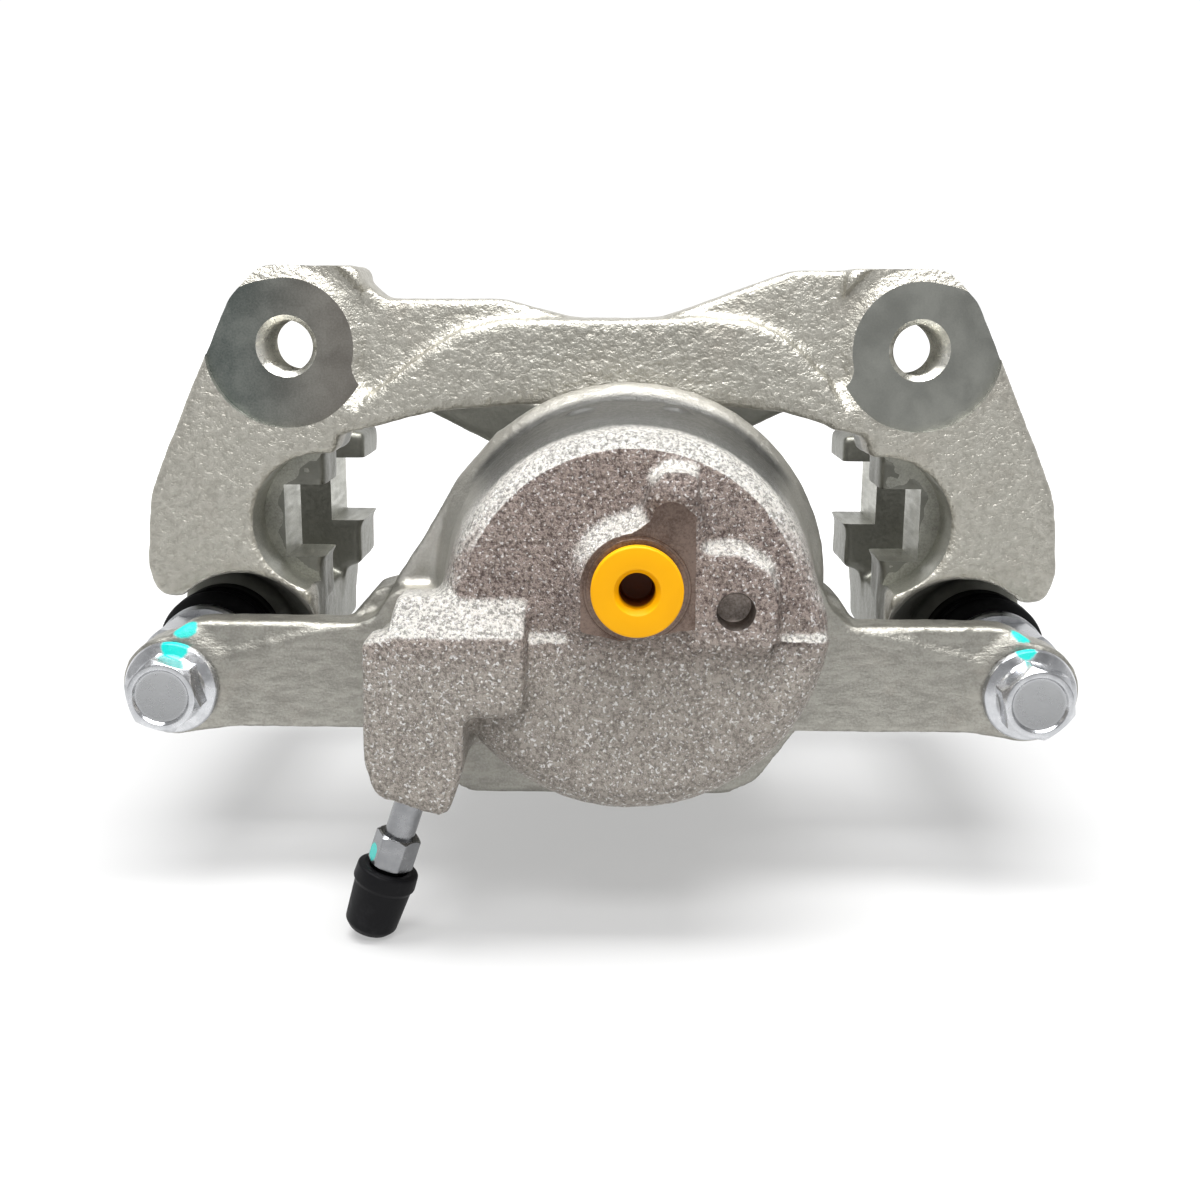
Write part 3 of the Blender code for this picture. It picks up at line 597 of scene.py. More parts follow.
def ear_face_look():
    """Milled ear faces with painted reflections: the left one dark and bluish at its outer edge, the right one
    lighter.
    """
    look = Look("ear_face", (0.201, 0.213, 0.201), 0.36, 0.95)
    satin = look.grain(0.45, 4.0, 0.7)
    cloud = look.grain(8.0, 3.0, 0.6)
    across = look.axis("X")
    # Painted reflection: the two faces differ in tone by side, the left one darkest and bluish at its outer edge.
    left = look.mix(look.ramp(across, -80.0, -54.0), (0.144, 0.17, 0.16), (0.257, 0.238, 0.213))
    colour = look.mix(look.ramp(across, -5.0, 5.0), left, (0.319, 0.326, 0.301))
    tone = look.maths("MULTIPLY_ADD", satin, 0.6, look.maths("MULTIPLY", cloud, 0.4))
    worn = look.mix(look.ramp(tone, 0.35, 0.65, 0.0, 0.35), colour, (0.451, 0.451, 0.414))
    look.set(look.shader, "Base Color", worn)
    look.set(look.shader, "Roughness", look.ramp(cloud, 0.3, 0.7, 0.3, 0.42))
    look.bump(satin, 0.05, 0.6)
    return look.material


def zinc_look(name, marks=(), shaded_dishes=(), roughness=0.2, tone=1.0):
    """Bright zinc plate, with teal paint marks and with painted shade that makes sunk places greyer."""
    look = Look(name, (0.667, 0.681, 0.711), roughness, 0.97)
    haze = look.grain(3.2, 4.0, 0.65)
    fine = look.grain(0.5, 2.0, 0.5)
    dull, bright = [tuple(tone * c for c in zinc) for zinc in ((0.52, 0.53, 0.55), (0.68, 0.69, 0.71))]
    colour = look.mix(look.ramp(haze, 0.35, 0.7), dull, bright)
    # Painted shade: each sunk place is painted a greyer zinc.
    for centre, radius in shaded_dishes:
        colour = look.mix(look.near(centre, radius, 0.0), colour, (0.392, 0.399, 0.406))
    look.set(look.shader, "Base Color", colour)
    if marks:
        paint_marks(look, colour, marks)
    look.set(look.shader, "Roughness", look.ramp(haze, 0.3, 0.7, roughness - 0.05, roughness + 0.1))
    look.bump(fine, 0.03, 0.5)
    return look.material


def rubber_look():
    look = Look("black_rubber", (0.008, 0.008, 0.009), 0.5, 0.0)
    dust = look.grain(4.0, 5.0, 0.7)
    skin = look.grain(0.6, 2.0, 0.5)
    black = look.mix(look.ramp(dust, 0.5, 0.85), (0.006, 0.006, 0.007), (0.020, 0.020, 0.022))
    look.set(look.shader, "Base Color", black)
    look.set(look.shader, "Roughness", look.ramp(dust, 0.3, 0.8, 0.45, 0.62))
    look.set(look.shader, "Specular IOR Level", 0.12)
    look.bump(skin, 0.04, 0.6)
    return look.material


def plug_look():
    """Yellow plastic, with painted shade deep in the plug's hole."""
    look = Look("yellow_plastic", (0.85, 0.36, 0.0), 0.42, 0.0)
    flow = look.grain(5.0, 2.0, 0.5)
    skin = look.grain(0.7, 2.0, 0.5)
    front = middle("inlet_plug").y - 5.0
    yellow = look.mix(flow, (0.84, 0.38, 0.0), (0.90, 0.43, 0.0))
    # Painted shade: the plug's hole is painted near black deep down.
    hole_shade = look.near((INLET_X, front + 8.0, INLET_Z), 7.4, 0.0)
    look.set(look.shader, "Base Color", look.mix(hole_shade, yellow, (0.10, 0.025, 0.003)))
    look.set(look.shader, "Specular IOR Level", 0.2)
    look.set(look.shader, "Roughness", look.ramp(skin, 0.3, 0.7, 0.36, 0.5))
    look.bump(skin, 0.02, 0.5)
    return look.material


BOLT_DISH_SHADE = [((side * PIN_X, -23.4, PIN_Z), 6.2) for side in SIDES]

BRACKET_CAST = cast_bracket_look()
HOUSING_CAST = cast_housing_look()
SPOT_FACED = ear_face_look()
BROACHED = machined_look("broached_guide", (0.289, 0.289, 0.255), (0.459, 0.459, 0.408), 0.38)
SEAT_FACED = machined_look("seat_face", (0.143, 0.101, 0.0833), (0.286, 0.214, 0.178), 0.35)
BORED = machined_look("bored_metal", (0.51, 0.51, 0.476), (0.816, 0.799, 0.731), 0.3)
HOLE_WALL = machined_look("drilled_hole", (0.17, 0.145, 0.128), (0.425, 0.374, 0.34), 0.4)
BOLT_ZINC = zinc_look("bolt_zinc", BOLT_MARKS, BOLT_DISH_SHADE)
PIN_ZINC = zinc_look("pin_zinc", roughness=0.3)
CHROME = machined_look("ground_chrome", (0.62, 0.63, 0.65), (0.80, 0.81, 0.83), 0.16)
RUBBER = rubber_look()
PLASTIC = plug_look()


# ---------------------------------------------------------------- bracket


def ear_mill(side):
    """The spot face's cutter: a milled floor with a wall round it painted brighter as painted light."""
    ends = [(side * EAR_X, y, 0) for y in (EAR_FACE_Y - 9.0, EAR_FACE_Y)]
    mill = painted(rod("ear_mill", *ends, SPOT_FACE_RADIUS, segments=128), SPOT_FACED)
    # Painted light: the wall takes the lighter bored-metal look, standing for the lit wall round the spot face.
    mill.data.materials.append(BORED)
    for face in mill.data.polygons:
        face.material_index = 1 if abs(face.normal.y) < 0.5 else 0
    return mill


def ear_drill(side):
    """The chamfer and the tapped hole of one ear, as one cutter. Its thread is a row of rings."""
    core, pitch, depth = EAR_HOLE_RADIUS, 1.25, 0.62
    mouth = core + depth + 0.5
    profile = [(0.0, -2.0), (mouth + 2.0, -2.0), (mouth, 0.0)]
    profile.append((core + depth / 2, mouth - core - depth / 2))
    along = mouth - core - depth / 2 + pitch * 0.3
    while along < EAR_BACK_Y + 1.0:
        profile += [(core, along), (core + depth, along + pitch / 2)]
        along += pitch
    profile += [(core, along), (0.0, along)]
    return painted(turned("ear_drill", profile, (side * EAR_X, EAR_FACE_Y, 0)), BORED)


def ear_stock(side):
    """The metal that the spot face took away, for rounding the casting before it is cut."""
    stock = copy_of("bracket", (0, EAR_CAST_Y - EAR_FACE_Y, 0))
    centre = (side * EAR_X, EAR_CAST_Y, 0)
    disc = rod("ear_disc", centre, (side * EAR_X, 0.7, 0), SPOT_FACE_RADIUS + 0.3)
    return combine(stock, disc, "INTERSECT")


def slope_ear_bosses(casting):
    """Rounds each ear off on its inner and upper side, so that its milled face ends before the web."""
    places = points_of(casting)[0]
    for side in SIDES:
        inward, y, up = EAR_X - side * places[:, 0], places[:, 1], places[:, 2]
        reach = np.hypot(inward, up)
        bearing = np.degrees(np.arctan2(up, inward))
        sector = step_up(bearing + 48.0, 34.0) * step_up(172.0 - bearing, 30.0)
        share = sector * (1.0 - step_up(reach - 19.0, 1.5))
        edge = 14.1 + 2.0 * step_up(bearing - 100.0, 50.0)
        slope = EAR_FACE_Y + np.clip((reach - edge) * 0.38, -1.5, WEB_Y)
        places[:, 1] = np.where(y < slope, y + share * (slope - y), y)
    move_points(casting, places)


def bracket():
    """The bracket's casting with its milled ears, tapped holes, pad guides and pin bores."""
    pieces = [copy_of("bracket"), block("web_root", (-54.0, 1.4, -13.0), (-38.0, 11.0, -3.0))]
    for side in SIDES:
        pieces.append(ear_stock(side))
        hole = [(side * EAR_X, y, 0) for y in (EAR_CAST_Y, EAR_BACK_Y)]
        pieces.append(rod("ear_fill", *hole, EAR_HOLE_RADIUS + 1.4))
        for name, (near_y, far_y) in NOTCH_FILLS.items():
            low, high = opening(f"{name}_right")
            near_x, far_x = sorted((side * (low.x + 1.0), side * (high.x + 1.2)))
            corners = (near_x, near_y, low.z - 1.2), (far_x, far_y, high.z + 1.2)
            pieces.append(block("notch_fill", *corners))
    casting = melt("bracket_casting", pieces, CAST_VOXEL, BRACKET_ROUNDING)
    sand(casting, (0.16, 9.0), (0.10, 2.6))
    slope_ear_bosses(casting)
    painted(casting, BRACKET_CAST)
    for side in SIDES:
        cut(casting, ear_mill(side), ear_drill(side))
        ends = [(side * POCKET[0], y, POCKET[1]) for y in (-6.0, PAD_GUIDE_Y)]
        pocket = rod("guide_pocket", *ends, POCKET_RADIUS + 0.15, segments=128)
        near_x, far_x = sorted((side * NOTCH_INNER_X, side * ABUTMENT_X))
        notch = block("pad_notch", (near_x, 5.0, NOTCH_Z[0]), (far_x, 90.0, NOTCH_Z[1]))
        bore = rod("pin_bore", *[(side * PIN_X, y, PIN_Z) for y in PIN_BORE_Y], PIN_BORE_RADIUS)
        cut(casting, painted(pocket, BROACHED), painted(notch, BROACHED), painted(bore, BORED))
    shade_casting(casting)
    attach(casting, "bracket")
    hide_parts("bracket")


# ---------------------------------------------------------------- housing


SEAT_OUTLINE = [
    *arc(INLET_X, INLET_Z, 10.4, 180, 96, 14),
    (9.1, -28.6),
    (10.5, -25.8),
    (11.0, -23.6),
    (14.8, -23.5),
    (16.4, -25.2),
    (17.2, -28.5),
    (17.6, -34.0),
    (17.6, -48.6),
    (3.0, -50.6),
    (-3.5, -49.2),
]


MILLED_OUTLINE = [
    *arc(INLET_X, INLET_Z, 10.4, 180, 96, 14),
    (9.1, -28.6),
    *smooth_line([(10.2, -26.0), (12.0, -24.9), (14.4, -25.2), (17.4, -27.6)], 4),
    (17.6, -48.6),
    (3.0, -50.6),
    (-3.5, -49.2),
]


def inlet_castings():
    """The raised seat for the hose fitting with its stop lug, and the boss beside it."""
    lug = rounded([(11.0, -21.4, 1.6), (15.0, -21.6, 1.6), (15.8, -25.0), (10.6, -24.6)])
    boss = rounded(
        [
            (17.0, -35.4),
            (25.0, -35.6, 3.0),
            (30.0, -38.6, 3.0),
            (31.4, -42.6, 3.0),
            (31.4, -52.6, 2.0),
            (17.0, -52.6),
        ]
    )
    return [
        plate("seat", SEAT_OUTLINE, (SEAT_PAD_Y, SEAT_PAD_Y + 7.0), slope=2.5),
        plate("stop_lug", lug, (SEAT_PAD_Y - 1.9, SEAT_PAD_Y + 7.0), slope=2.0),
        plate("locating_boss", boss, (SEAT_PAD_Y + 0.3, SEAT_PAD_Y + 7.0), slope=2.4),
    ]


def bleeder_ledge():
    """The bleeder block's front edge, with the narrow sloping ledge behind it."""
    front = rounded([(-43.3, -50.0, 2.5), (-14.0, -50.0, 2.0), (-14.0, -58.0), (-43.3, -58.0)])
    ledge = [(-46.2, -43.2), (-49.6, -47.6), (-51.9, -49.9), (-51.9, -57.0), (-44.0, -57.0)]
    return [
        plate("bleeder_front", front, (-52.0, -44.0)),
        plate("bleeder_ledge", ledge, (-38.8, -13.6), sideways=True),
    ]


def cast_marks():
    """Two low pads on top of the cylinder."""
    marks = []
    for x in (-4.8, 15.1):
        edit = bmesh.new()
        bmesh.ops.create_uvsphere(edit, u_segments=24, v_segments=12, radius=1.0)
        mesh = mesh_from(edit, "cast_mark")
        lean = math.atan2(x - BORE_X, 38.0)
        top = Vector((BORE_X + 38.1 * math.sin(lean), -20.0, BORE_Z + 38.1 * math.cos(lean)))
        shape = Matrix.Rotation(lean, 4, "Y") @ Matrix.Diagonal((3.4, 1.3, 0.8, 1.0))
        mesh.transform(Matrix.Diagonal((MM, MM, MM, 1.0)) @ Matrix.Translation(top) @ shape)
        marks.append(new_object("cast_mark", mesh))
    return marks


def machining_stock():
    """The metal that drills and mills took away, for rounding the casting before it is cut."""
    stock = [rod("plug_fill", (INLET_X, SEAT_PAD_Y + 0.5, INLET_Z), (INLET_X, -37.5, INLET_Z), 5.4)]
    x, z = LOCATING_HOLE
    stock.append(rod("hole_fill", (x, SEAT_PAD_Y + 1.0, z), (x, -42.0, z), LOCATING_RADIUS + 0.6))
    stock.append(
        rod("bleeder_fill", BLEEDER_SEAT - BLEEDER_AXIS, BLEEDER_SEAT - BLEEDER_AXIS * 20.0, 4.4)
    )
    for side in SIDES:
        ends = [(side * PIN_X, y, PIN_Z) for y in (BOLT_SEAT_Y, ARM_BACK_Y)]
        stock.append(rod("bolt_fill", *ends, 6.0))
    return stock


def ease_end_face(casting):
    """Makes the end face's step fade into a gradual slope at its right edge."""
    places = points_of(casting)[0]
    x, y, z = places.T
    edge = (np.hypot(x - BORE_X, z - BORE_Z) > 26.5) & (x > BORE_X) & (z < -51.5)
    gradual = END_FACE_Y - 1.6 * step_up(-40.0 - z, 26.0)
    places[:, 1] = np.where(edge & (y < END_FACE_Y + 0.4), np.maximum(y, gradual), y)
    move_points(casting, places)


def taper_cylinder_top(casting):
    """Draws the cylinder's upper half in towards the end face, as its draft does."""
    places = points_of(casting)[0]
    across, up = places[:, 0] - BORE_X, places[:, 2] - BORE_Z
    radius = np.hypot(across, up)
    forward = np.clip((-12.0 - places[:, 1]) / 30.0, 0.0, 1.0)
    share = forward * step_up(up + 4.0, 14.0) * step_up(radius - 31.0, 4.0)
    scale = 1.0 - 2.3 * share / np.maximum(radius, 1.0)
    places[:, 0] = BORE_X + across * scale
    places[:, 2] = BORE_Z + up * scale
    move_points(casting, places)


def sink_arm_tops(casting):
    """A shallow sunk strip along the top of each arm's front, widening towards the bolt."""
    places, normals = points_of(casting)
    x, y, z = places.T
    along = np.abs(x) - 48.0
    line = -56.0 - 0.26 * along
    round_bolt = np.hypot(np.abs(x) - PIN_X, z - PIN_Z)
    depth = step_up(z - line, 2.6) * step_up(along, 9.0) * step_up(round_bolt - 11.4, 2.6)
    depth = depth * step_up(-y - 8.5, 4.0)
    places[:, 1] += 0.9 * depth
    move_points(casting, places)


def bore_cutter():
    """The cylinder's bore with the seal's groove and the dust boot's counterbore."""
    profile = [
        (0.0, -37.0),
        (BORE_RADIUS - 2.0, -37.0),
        (BORE_RADIUS, -35.0),
        (BORE_RADIUS, -12.0),
        (31.8, -12.0),
        (31.8, -8.6),
        (BORE_RADIUS, -8.6),
        (BORE_RADIUS, 2.0),
        (32.0, 2.0),
        (32.0, OPEN_END_Y - 0.6),
        (32.6, OPEN_END_Y),
        (32.6, OPEN_END_Y + 4.0),
        (0.0, OPEN_END_Y + 4.0),
    ]
    return turned("bore", profile, (BORE_X, 0, BORE_Z), segments=128)


def seat_cutter():
    """The milled seat with the shallow rings that the facing tool left round the port."""
    profile = [(0.0, -6.0), (10.2, -6.0), (10.2, 0.32), (9.9, 0.32), (9.8, 0.44), (9.4, 0.44)]
    profile += [(9.3, 0.34), (5.2, 0.34), (4.6, 0.9), (4.6, 14.0), (0.0, 14.0)]
    facing = turned("seat_rings", profile, (INLET_X, SEAT_PAD_Y, INLET_Z))
    seat = plate("seat_face", MILLED_OUTLINE, (SEAT_PAD_Y - 3.4, SEAT_PAD_Y + 0.2))
    return seat, facing


def housing():
    """The caliper housing's casting with its bore, hose seat, holes and bolt seats."""
    pieces = [copy_of("housing"), *inlet_castings(), *bleeder_ledge(), *cast_marks()]
    pieces += machining_stock()
    casting = melt("housing_casting", pieces, CAST_VOXEL + 0.06, HOUSING_ROUNDING)
    sand(casting, (0.12, 10.0), (0.10, 2.2))
    ease_end_face(casting)
    taper_cylinder_top(casting)
    sink_arm_tops(casting)
    painted(casting, HOUSING_CAST)
    cut(casting, painted(bore_cutter(), BORED))
    for tool in seat_cutter():
        cut(casting, painted(tool, SEAT_FACED))
    x, z = LOCATING_HOLE
    hole = [(0.0, -4.0), (LOCATING_RADIUS + 0.3, -4.0), (LOCATING_RADIUS + 0.3, 0.2)]
    hole += [(LOCATING_RADIUS, 0.6), (LOCATING_RADIUS, 6.0), (0.0, 7.4)]
    cut(casting, painted(turned("locating_hole", hole, (x, SEAT_PAD_Y + 0.4, z)), HOLE_WALL))
    thread = [BLEEDER_SEAT + BLEEDER_AXIS * along for along in (5.0, -21.0)]
    cut(casting, painted(rod("bleeder_hole", *thread, 3.5), BORED))
    for side in SIDES:
        seat = [(0.0, -6.0), (10.3, -6.0), (10.3, 0.0), (4.4, 0.0), (4.4, 14.0), (0.0, 14.0)]
        cut(casting, painted(turned("bolt_seat", seat, (side * PIN_X, BOLT_SEAT_Y, PIN_Z)), BORED))
    shade_casting(casting)
    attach(casting, "housing")
    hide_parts("housing")


# ---------------------------------------------------------------- small pieces


def put(obj, body, slot, look, *nodes):
    """Finishes a piece that stands for CAD nodes on a body."""
    painted(obj, look)
    shade(obj)
    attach(obj, body)
    if nodes:
        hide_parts(*nodes)
    return obj


def hexagon(name, start, end, across_flats, spin=0.0, chamfer=0.9, both=False, dish=None):
    """A hexagon head from its seat to its top, with turned chamfers.

    A dish is the radius of a sunk place in the top. With both, the seat's end is chamfered too.
    """
    start, end = Vector(start), Vector(end)
    corner = across_flats / math.sqrt(3)
    prism = rod(name, start, end, corner, segments=6, spin=spin)
    bevel = prism.modifiers.new("corners", "BEVEL")
    bevel.width = 0.25 * MM
    bevel.segments = 3
    settle(prism)
    tall = (end - start).length
    edge = across_flats / 2 - 0.15
    envelope = [(0.0, -0.05), (corner + 0.2, -0.05)]
    if both:
        envelope = [(0.0, -0.05), (edge, -0.05), (corner + 0.2, chamfer)]
    rim = [(corner + 0.2, tall - chamfer), (edge, tall, 0.5), (edge - 0.5, tall)]
    envelope += rounded(rim, closed=False)
    if dish:
        sunk = [(dish, tall, 0.25), (dish - 0.5, tall - 0.6, 0.25), (0.0, tall - 0.7)]
        envelope += rounded([(edge - 0.4, tall), *sunk], closed=False)
    else:
        envelope.append((0.0, tall))
    shape = turned(name + "_turned", envelope[::-1], start, end - start)
    return combine(prism, shape, "INTERSECT")


def guide_pin_bolt(side):
    name = "left" if side < 0 else "right"
    seat = BOLT_SEAT_Y - 0.3
    top = span(f"guide_pin_bolt_{name}")[0].y
    place = (side * PIN_X, 0, PIN_Z)
    profile = rounded(
        [
            (0.0, seat - 4.0),
            (6.2, seat - 4.0),
            (7.5, seat - 2.4, 0.8),
            (9.5, seat - 1.5, 0.6),
            (9.85, seat - 0.8, 0.25),
            (9.75, seat, 0.1),
            (4.5, seat),
            (3.95, seat + 0.6, 0.3),
            (3.95, 12.0),
            (3.2, 12.8),
            (0.0, 12.8),
        ],
        closed=False,
    )
    bolt = turned(f"bolt_{name}", profile, place)
    ends = [(side * PIN_X, y, PIN_Z) for y in (seat - 1.0, top)]
    head = hexagon("bolt_head", *ends, 14.0, spin=13.0, chamfer=1.5, dish=5.9)
    combine(bolt, head, "UNION")
    put(bolt, "housing", "zinc", BOLT_ZINC, f"guide_pin_bolt_{name}")


def guide_pin(side):
    name = "left" if side < 0 else "right"
    start, tip = ARM_BACK_Y + 0.3, span(f"guide_pin_{name}")[1].y
    profile = [
        (0.0, start + 20.0),
        (4.2, start + 20.0),
        (4.2, start),
        (10.4, start),
        (11.1, start + 0.7, 0.3),
        (11.1, 9.5),
        (11.6, 10.0, 0.2),
        (11.6, 12.2, 0.4),
        (7.6, 12.3, 0.3),
        (7.6, 15.9),
        (7.8, 17.0, 0.3),
        (5.4, 18.6, 0.6),
    ]
    if side < 0:
        profile += [(5.4, 56.0, 0.3), (3.9, 56.0), (3.9, tip - 2.5), (4.7, tip - 2.0, 0.2), (4.2, tip)]
    else:
        profile += [(5.4, tip - 1.2, 0.6), (4.4, tip)]
    profile.append((0.0, tip))
    pin = turned(f"pin_{name}", rounded(profile, 4, closed=False), (side * PIN_X, 0, PIN_Z))
    for up in SIDES:
        low = (side * PIN_X - 14.0, start - 1.0, min(PIN_Z + up * 9.5, PIN_Z + up * 14.0))
        high = (side * PIN_X + 14.0, 9.0, max(PIN_Z + up * 9.5, PIN_Z + up * 14.0))
        cut(pin, block("wrench_flat", low, high))
    put(pin, "housing", "zinc", PIN_ZINC, f"guide_pin_{name}")


def guide_pin_boot(side):
    """The bellows between the pin's collar and the bracket's neck."""
    name = "left" if side < 0 else "right"
    line = [(8.6, 12.9), (8.6, 14.2), (8.6, 15.6), (9.3, 16.6), (11.6, 17.4), (12.7, 18.2)]
    line += [(11.8, 19.0), (10.6, 19.7), (11.8, 20.4), (12.8, 21.1), (11.9, 21.9), (10.9, 22.6)]
    line += [(11.8, 23.3), (12.5, 24.2), (12.45, 26.0), (12.45, 27.6), (12.5, 28.3)]
    boot = sleeve(f"boot_{name}", line, 1.2, (side * PIN_X, 0, PIN_Z))
    painted(boot, RUBBER)
    shade(boot, 60)
    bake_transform(boot)
    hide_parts(f"guide_pin_boot_{name}")


def piston():
    low, high = span("piston")
    closed_y, rim = low.y, high.y
    profile = [
        (0.0, closed_y),
        (PISTON_RADIUS - 2.2, closed_y, 0.5),
        (PISTON_RADIUS, closed_y + 2.2, 0.8),
        (PISTON_RADIUS, rim - 4.4),
        (PISTON_RADIUS - 1.8, rim - 4.4),
        (PISTON_RADIUS - 1.8, rim - 1.8),
        (PISTON_RADIUS, rim - 1.8, 0.15),
        (PISTON_RADIUS, rim - 0.5, 0.3),
        (PISTON_RADIUS - 0.6, rim, 0.2),
        (PISTON_RADIUS - 4.8, rim, 0.2),
        (PISTON_RADIUS - 5.2, rim - 0.5),
        (PISTON_RADIUS - 5.2, closed_y + 10.0, 2.0),
        (PISTON_RADIUS - 9.2, closed_y + 6.0, 2.0),
        (4.0, closed_y + 6.0, 0.5),
        (3.0, closed_y + 5.2, 0.5),
        (0.0, closed_y + 5.2),
    ]
    body = turned("piston_turned", rounded(profile, 5, closed=False), (BORE_X, 0, BORE_Z), segments=128)
    put(body, "piston", "chrome", CHROME, "piston")


def piston_dust_boot():
    """The folded boot between the housing and the piston's groove."""
    line = [(29.6, 3.0), (29.6, 5.0), (29.5, 7.0), (30.0, 8.4), (30.6, 9.4), (30.5, 10.3)]
    line += [(29.9, 10.4), (29.4, 9.6), (28.9, 8.5), (28.0, 8.35), (27.2, 8.4)]
    boot = sleeve("dust_boot", line, 0.8, (BORE_X, 0, BORE_Z), segments=128)
    painted(boot, RUBBER)
    shade(boot, 60)
    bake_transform(boot)
    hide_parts("piston_dust_boot")


def dust_boot_ring():
    low, high = span("dust_boot_ring")
    profile = rounded(
        [(30.6, low.y), (31.75, low.y, 0.3), (31.75, high.y, 0.5), (30.6, high.y, 0.3)], 4
    )
    ring = turned("retaining_ring", profile, (BORE_X, 0, BORE_Z), closed=True, segments=128)
    put(ring, "housing", "zinc", PIN_ZINC, "dust_boot_ring")


def bleeder_screw():
    profile = [
        (0.0, -20.4),
        (1.4, -20.4, 0.3),
        (3.2, -17.0, 0.4),
        (3.2, -0.6, 0.3),
        (2.95, 0.4),
        (2.95, 9.2),
        (3.5, 9.8),
        (3.5, 15.6),
        (2.5, 16.6, 0.5),
        (2.5, 18.8, 0.5),
        (3.2, 20.4, 0.4),
        (2.4, 24.0, 0.3),
        (0.0, 24.0),
    ]
    screw = turned("bleeder", rounded(profile, 4, closed=False), BLEEDER_SEAT, BLEEDER_AXIS, segments=64)
    ends = [BLEEDER_SEAT + BLEEDER_AXIS * along for along in (9.0, 15.8)]
    head = hexagon("bleeder_hexagon", *ends, 8.0, spin=4.0, chamfer=0.7, both=True)
    combine(screw, head, "UNION")
    bore = [BLEEDER_SEAT + BLEEDER_AXIS * along for along in (-14.0, 26.0)]
    cut(screw, rod("bleeder_bore", *bore, 0.9, segments=24))
    mark = BLEEDER_SEAT + BLEEDER_AXIS * 13.6 + Vector((-3.8, -1.4, 1.2))
    look = zinc_look("bleeder_zinc", [(mark, 2.1)], tone=0.45)
    put(screw, "bleeder_screw", "zinc", look, "bleeder_screw")


def bleeder_cap():
    profile = [
        (0.0, 25.0),
        (3.0, 25.0, 0.8),
        (3.9, 20.0),
        (3.9, 16.4, 0.2),
        (4.9, 16.2, 0.2),
        (6.1, 16.4, 0.6),
        (6.25, 19.4, 0.7),
        (5.75, 20.2, 0.8),
        (5.2, 28.6, 1.4),
        (3.8, 30.2, 1.4),
        (0.0, 30.2),
    ]
    cap = turned("cap", rounded(profile, 6, closed=False), BLEEDER_SEAT, BLEEDER_AXIS, segments=72)
    put(cap, "bleeder_cap", "rubber", RUBBER, "bleeder_cap")


def inlet_plug():
    front = span("inlet_plug")[0].y
    profile = [
        (0.0, front + 8.2),
        (3.1, front + 8.2, 0.5),
        (3.4, front + 1.3, 0.4),
        (4.3, front, 0.3),
        (8.45, front, 0.45),
        (8.45, SEAT_PAD_Y - 0.3, 0.2),
        (4.4, SEAT_PAD_Y - 0.3),
        (4.3, SEAT_PAD_Y + 0.6, 0.3),
        (4.1, SEAT_PAD_Y + 8.0, 0.4),
        (3.4, SEAT_PAD_Y + 9.0),
        (0.0, SEAT_PAD_Y + 9.0),
    ]
    plug = turned("plug", rounded(profile, 5, closed=False), (INLET_X, 0, INLET_Z))
    put(plug, "inlet_plug", "yellow_plastic", PLASTIC, "inlet_plug")


def hidden_rubber():
    """The seal and the bushing keep their CAD shape and take the rubber's look."""
    for node in ("piston_seal", "guide_pin_bushing"):
        painted(frame["nodes"][node], RUBBER)


# ---------------------------------------------------------------- studio


def camera():
    data = bpy.data.cameras.new("camera")
    data.sensor_width = 36.0
    data.lens = 42.225
    data.clip_start = 0.01
    eye = bpy.data.objects.new("camera", data)
    bpy.context.scene.collection.objects.link(eye)
    right = Vector((0.99994, 0.00897, 0.00658))
    ahead = Vector((-0.00736, 0.97685, -0.21378))
    up = right.cross(ahead)
    turn = Matrix((right, up, -ahead)).transposed().to_4x4()
    eye.matrix_world = Matrix.Translation(Vector((2.073, -299.763, 11.559)) * MM) @ turn
    bpy.context.scene.camera = eye


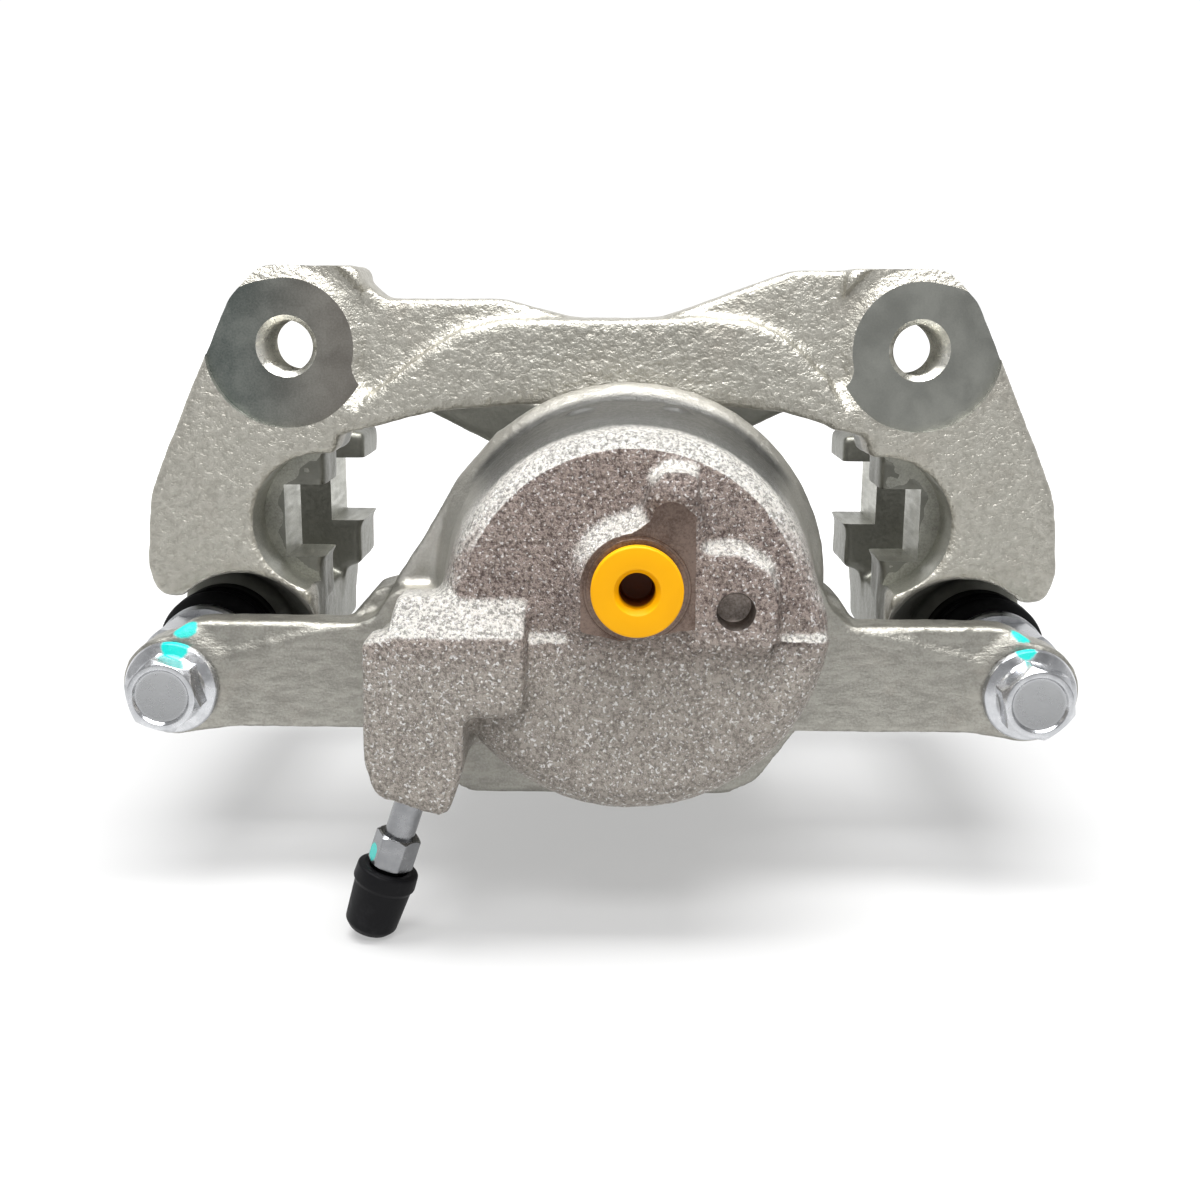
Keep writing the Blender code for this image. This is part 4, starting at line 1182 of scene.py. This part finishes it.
def floor():
    """A pale floor whose glow grows behind the object and fades out in front of it.

    It meets the background without an edge seen from the front. From behind, its horizon shows.
    """
    edit = bmesh.new()
    bmesh.ops.create_grid(edit, x_segments=2, y_segments=2, size=6.0)
    ground = new_object("floor", mesh_from(edit, "floor"))
    ground.location.z = CAD_BOX[0][2] - 0.0005
    look = Look("floor_white", (0.92, 0.92, 0.92), 0.7, 0.0)
    white = look.mix(look.grain(40.0), (0.38, 0.38, 0.38), (0.40, 0.40, 0.40))
    look.set(look.shader, "Base Color", white)
    look.set(look.shader, "Emission Color", (1.0, 1.0, 1.0))
    far = look.ramp(look.axis("Y"), 60.0, 500.0, 0.35, 1.0)
    front = look.ramp(look.axis("Y"), -215.0, -126.0)
    look.set(look.shader, "Emission Strength", look.maths("MULTIPLY_ADD", far, front, 0.03))
    painted(ground, look.material)


def area_light(name, place, aim, size, power):
    data = bpy.data.lights.new(name, "AREA")
    data.shape = "RECTANGLE"
    data.size, data.size_y = size
    data.energy = power
    light = bpy.data.objects.new(name, data)
    bpy.context.scene.collection.objects.link(light)
    light.location = place
    light.rotation_mode = "QUATERNION"
    light.rotation_quaternion = (Vector(place) - Vector(aim)).to_track_quat("Z", "Y")


def world_light():
    """A tent that is white at the horizon behind the object and dimmer overhead and in front."""
    world = bpy.data.worlds.new("tent")
    bpy.context.scene.world = world
    world.use_nodes = True
    nodes, links = world.node_tree.nodes, world.node_tree.links
    parts = nodes.new("ShaderNodeSeparateXYZ")
    links.new(nodes.new("ShaderNodeTexCoord").outputs["Generated"], parts.inputs[0])
    light = nodes.new("ShaderNodeMath")
    light.operation = "MULTIPLY"
    fades = (("Y", -0.8, 0.3, 0.45, 1.05), ("Z", 0.22, 0.65, 1.0, 0.4))
    for slot, (axis, low, high, start, end) in enumerate(fades):
        ramp = nodes.new("ShaderNodeMapRange")
        ramp.interpolation_type = "SMOOTHSTEP"
        for key, value in {"From Min": low, "From Max": high, "To Min": start, "To Max": end}.items():
            ramp.inputs[key].default_value = value
        links.new(parts.outputs[axis], ramp.inputs["Value"])
        links.new(ramp.outputs[0], light.inputs[slot])
    links.new(light.outputs[0], nodes["Background"].inputs["Strength"])
    nodes["Background"].inputs["Color"].default_value = (1.0, 1.0, 1.0, 1.0)


def studio():
    world_light()
    area_light("overhead", (0.0, -0.08, 0.50), (0, 0, 0), (0.6, 0.26), 6.0)
    area_light("front_top", (0.0, -0.55, 0.55), (0, 0, -0.03), (0.5, 0.2), 3.4)
    bpy.context.scene.view_settings.view_transform = "Standard"


camera()
floor()
studio()
bracket()
housing()
for side in SIDES:
    guide_pin_bolt(side)
    guide_pin(side)
    guide_pin_boot(side)
piston()
piston_dust_boot()
dust_boot_ring()
bleeder_screw()
bleeder_cap()
inlet_plug()
hidden_rubber()
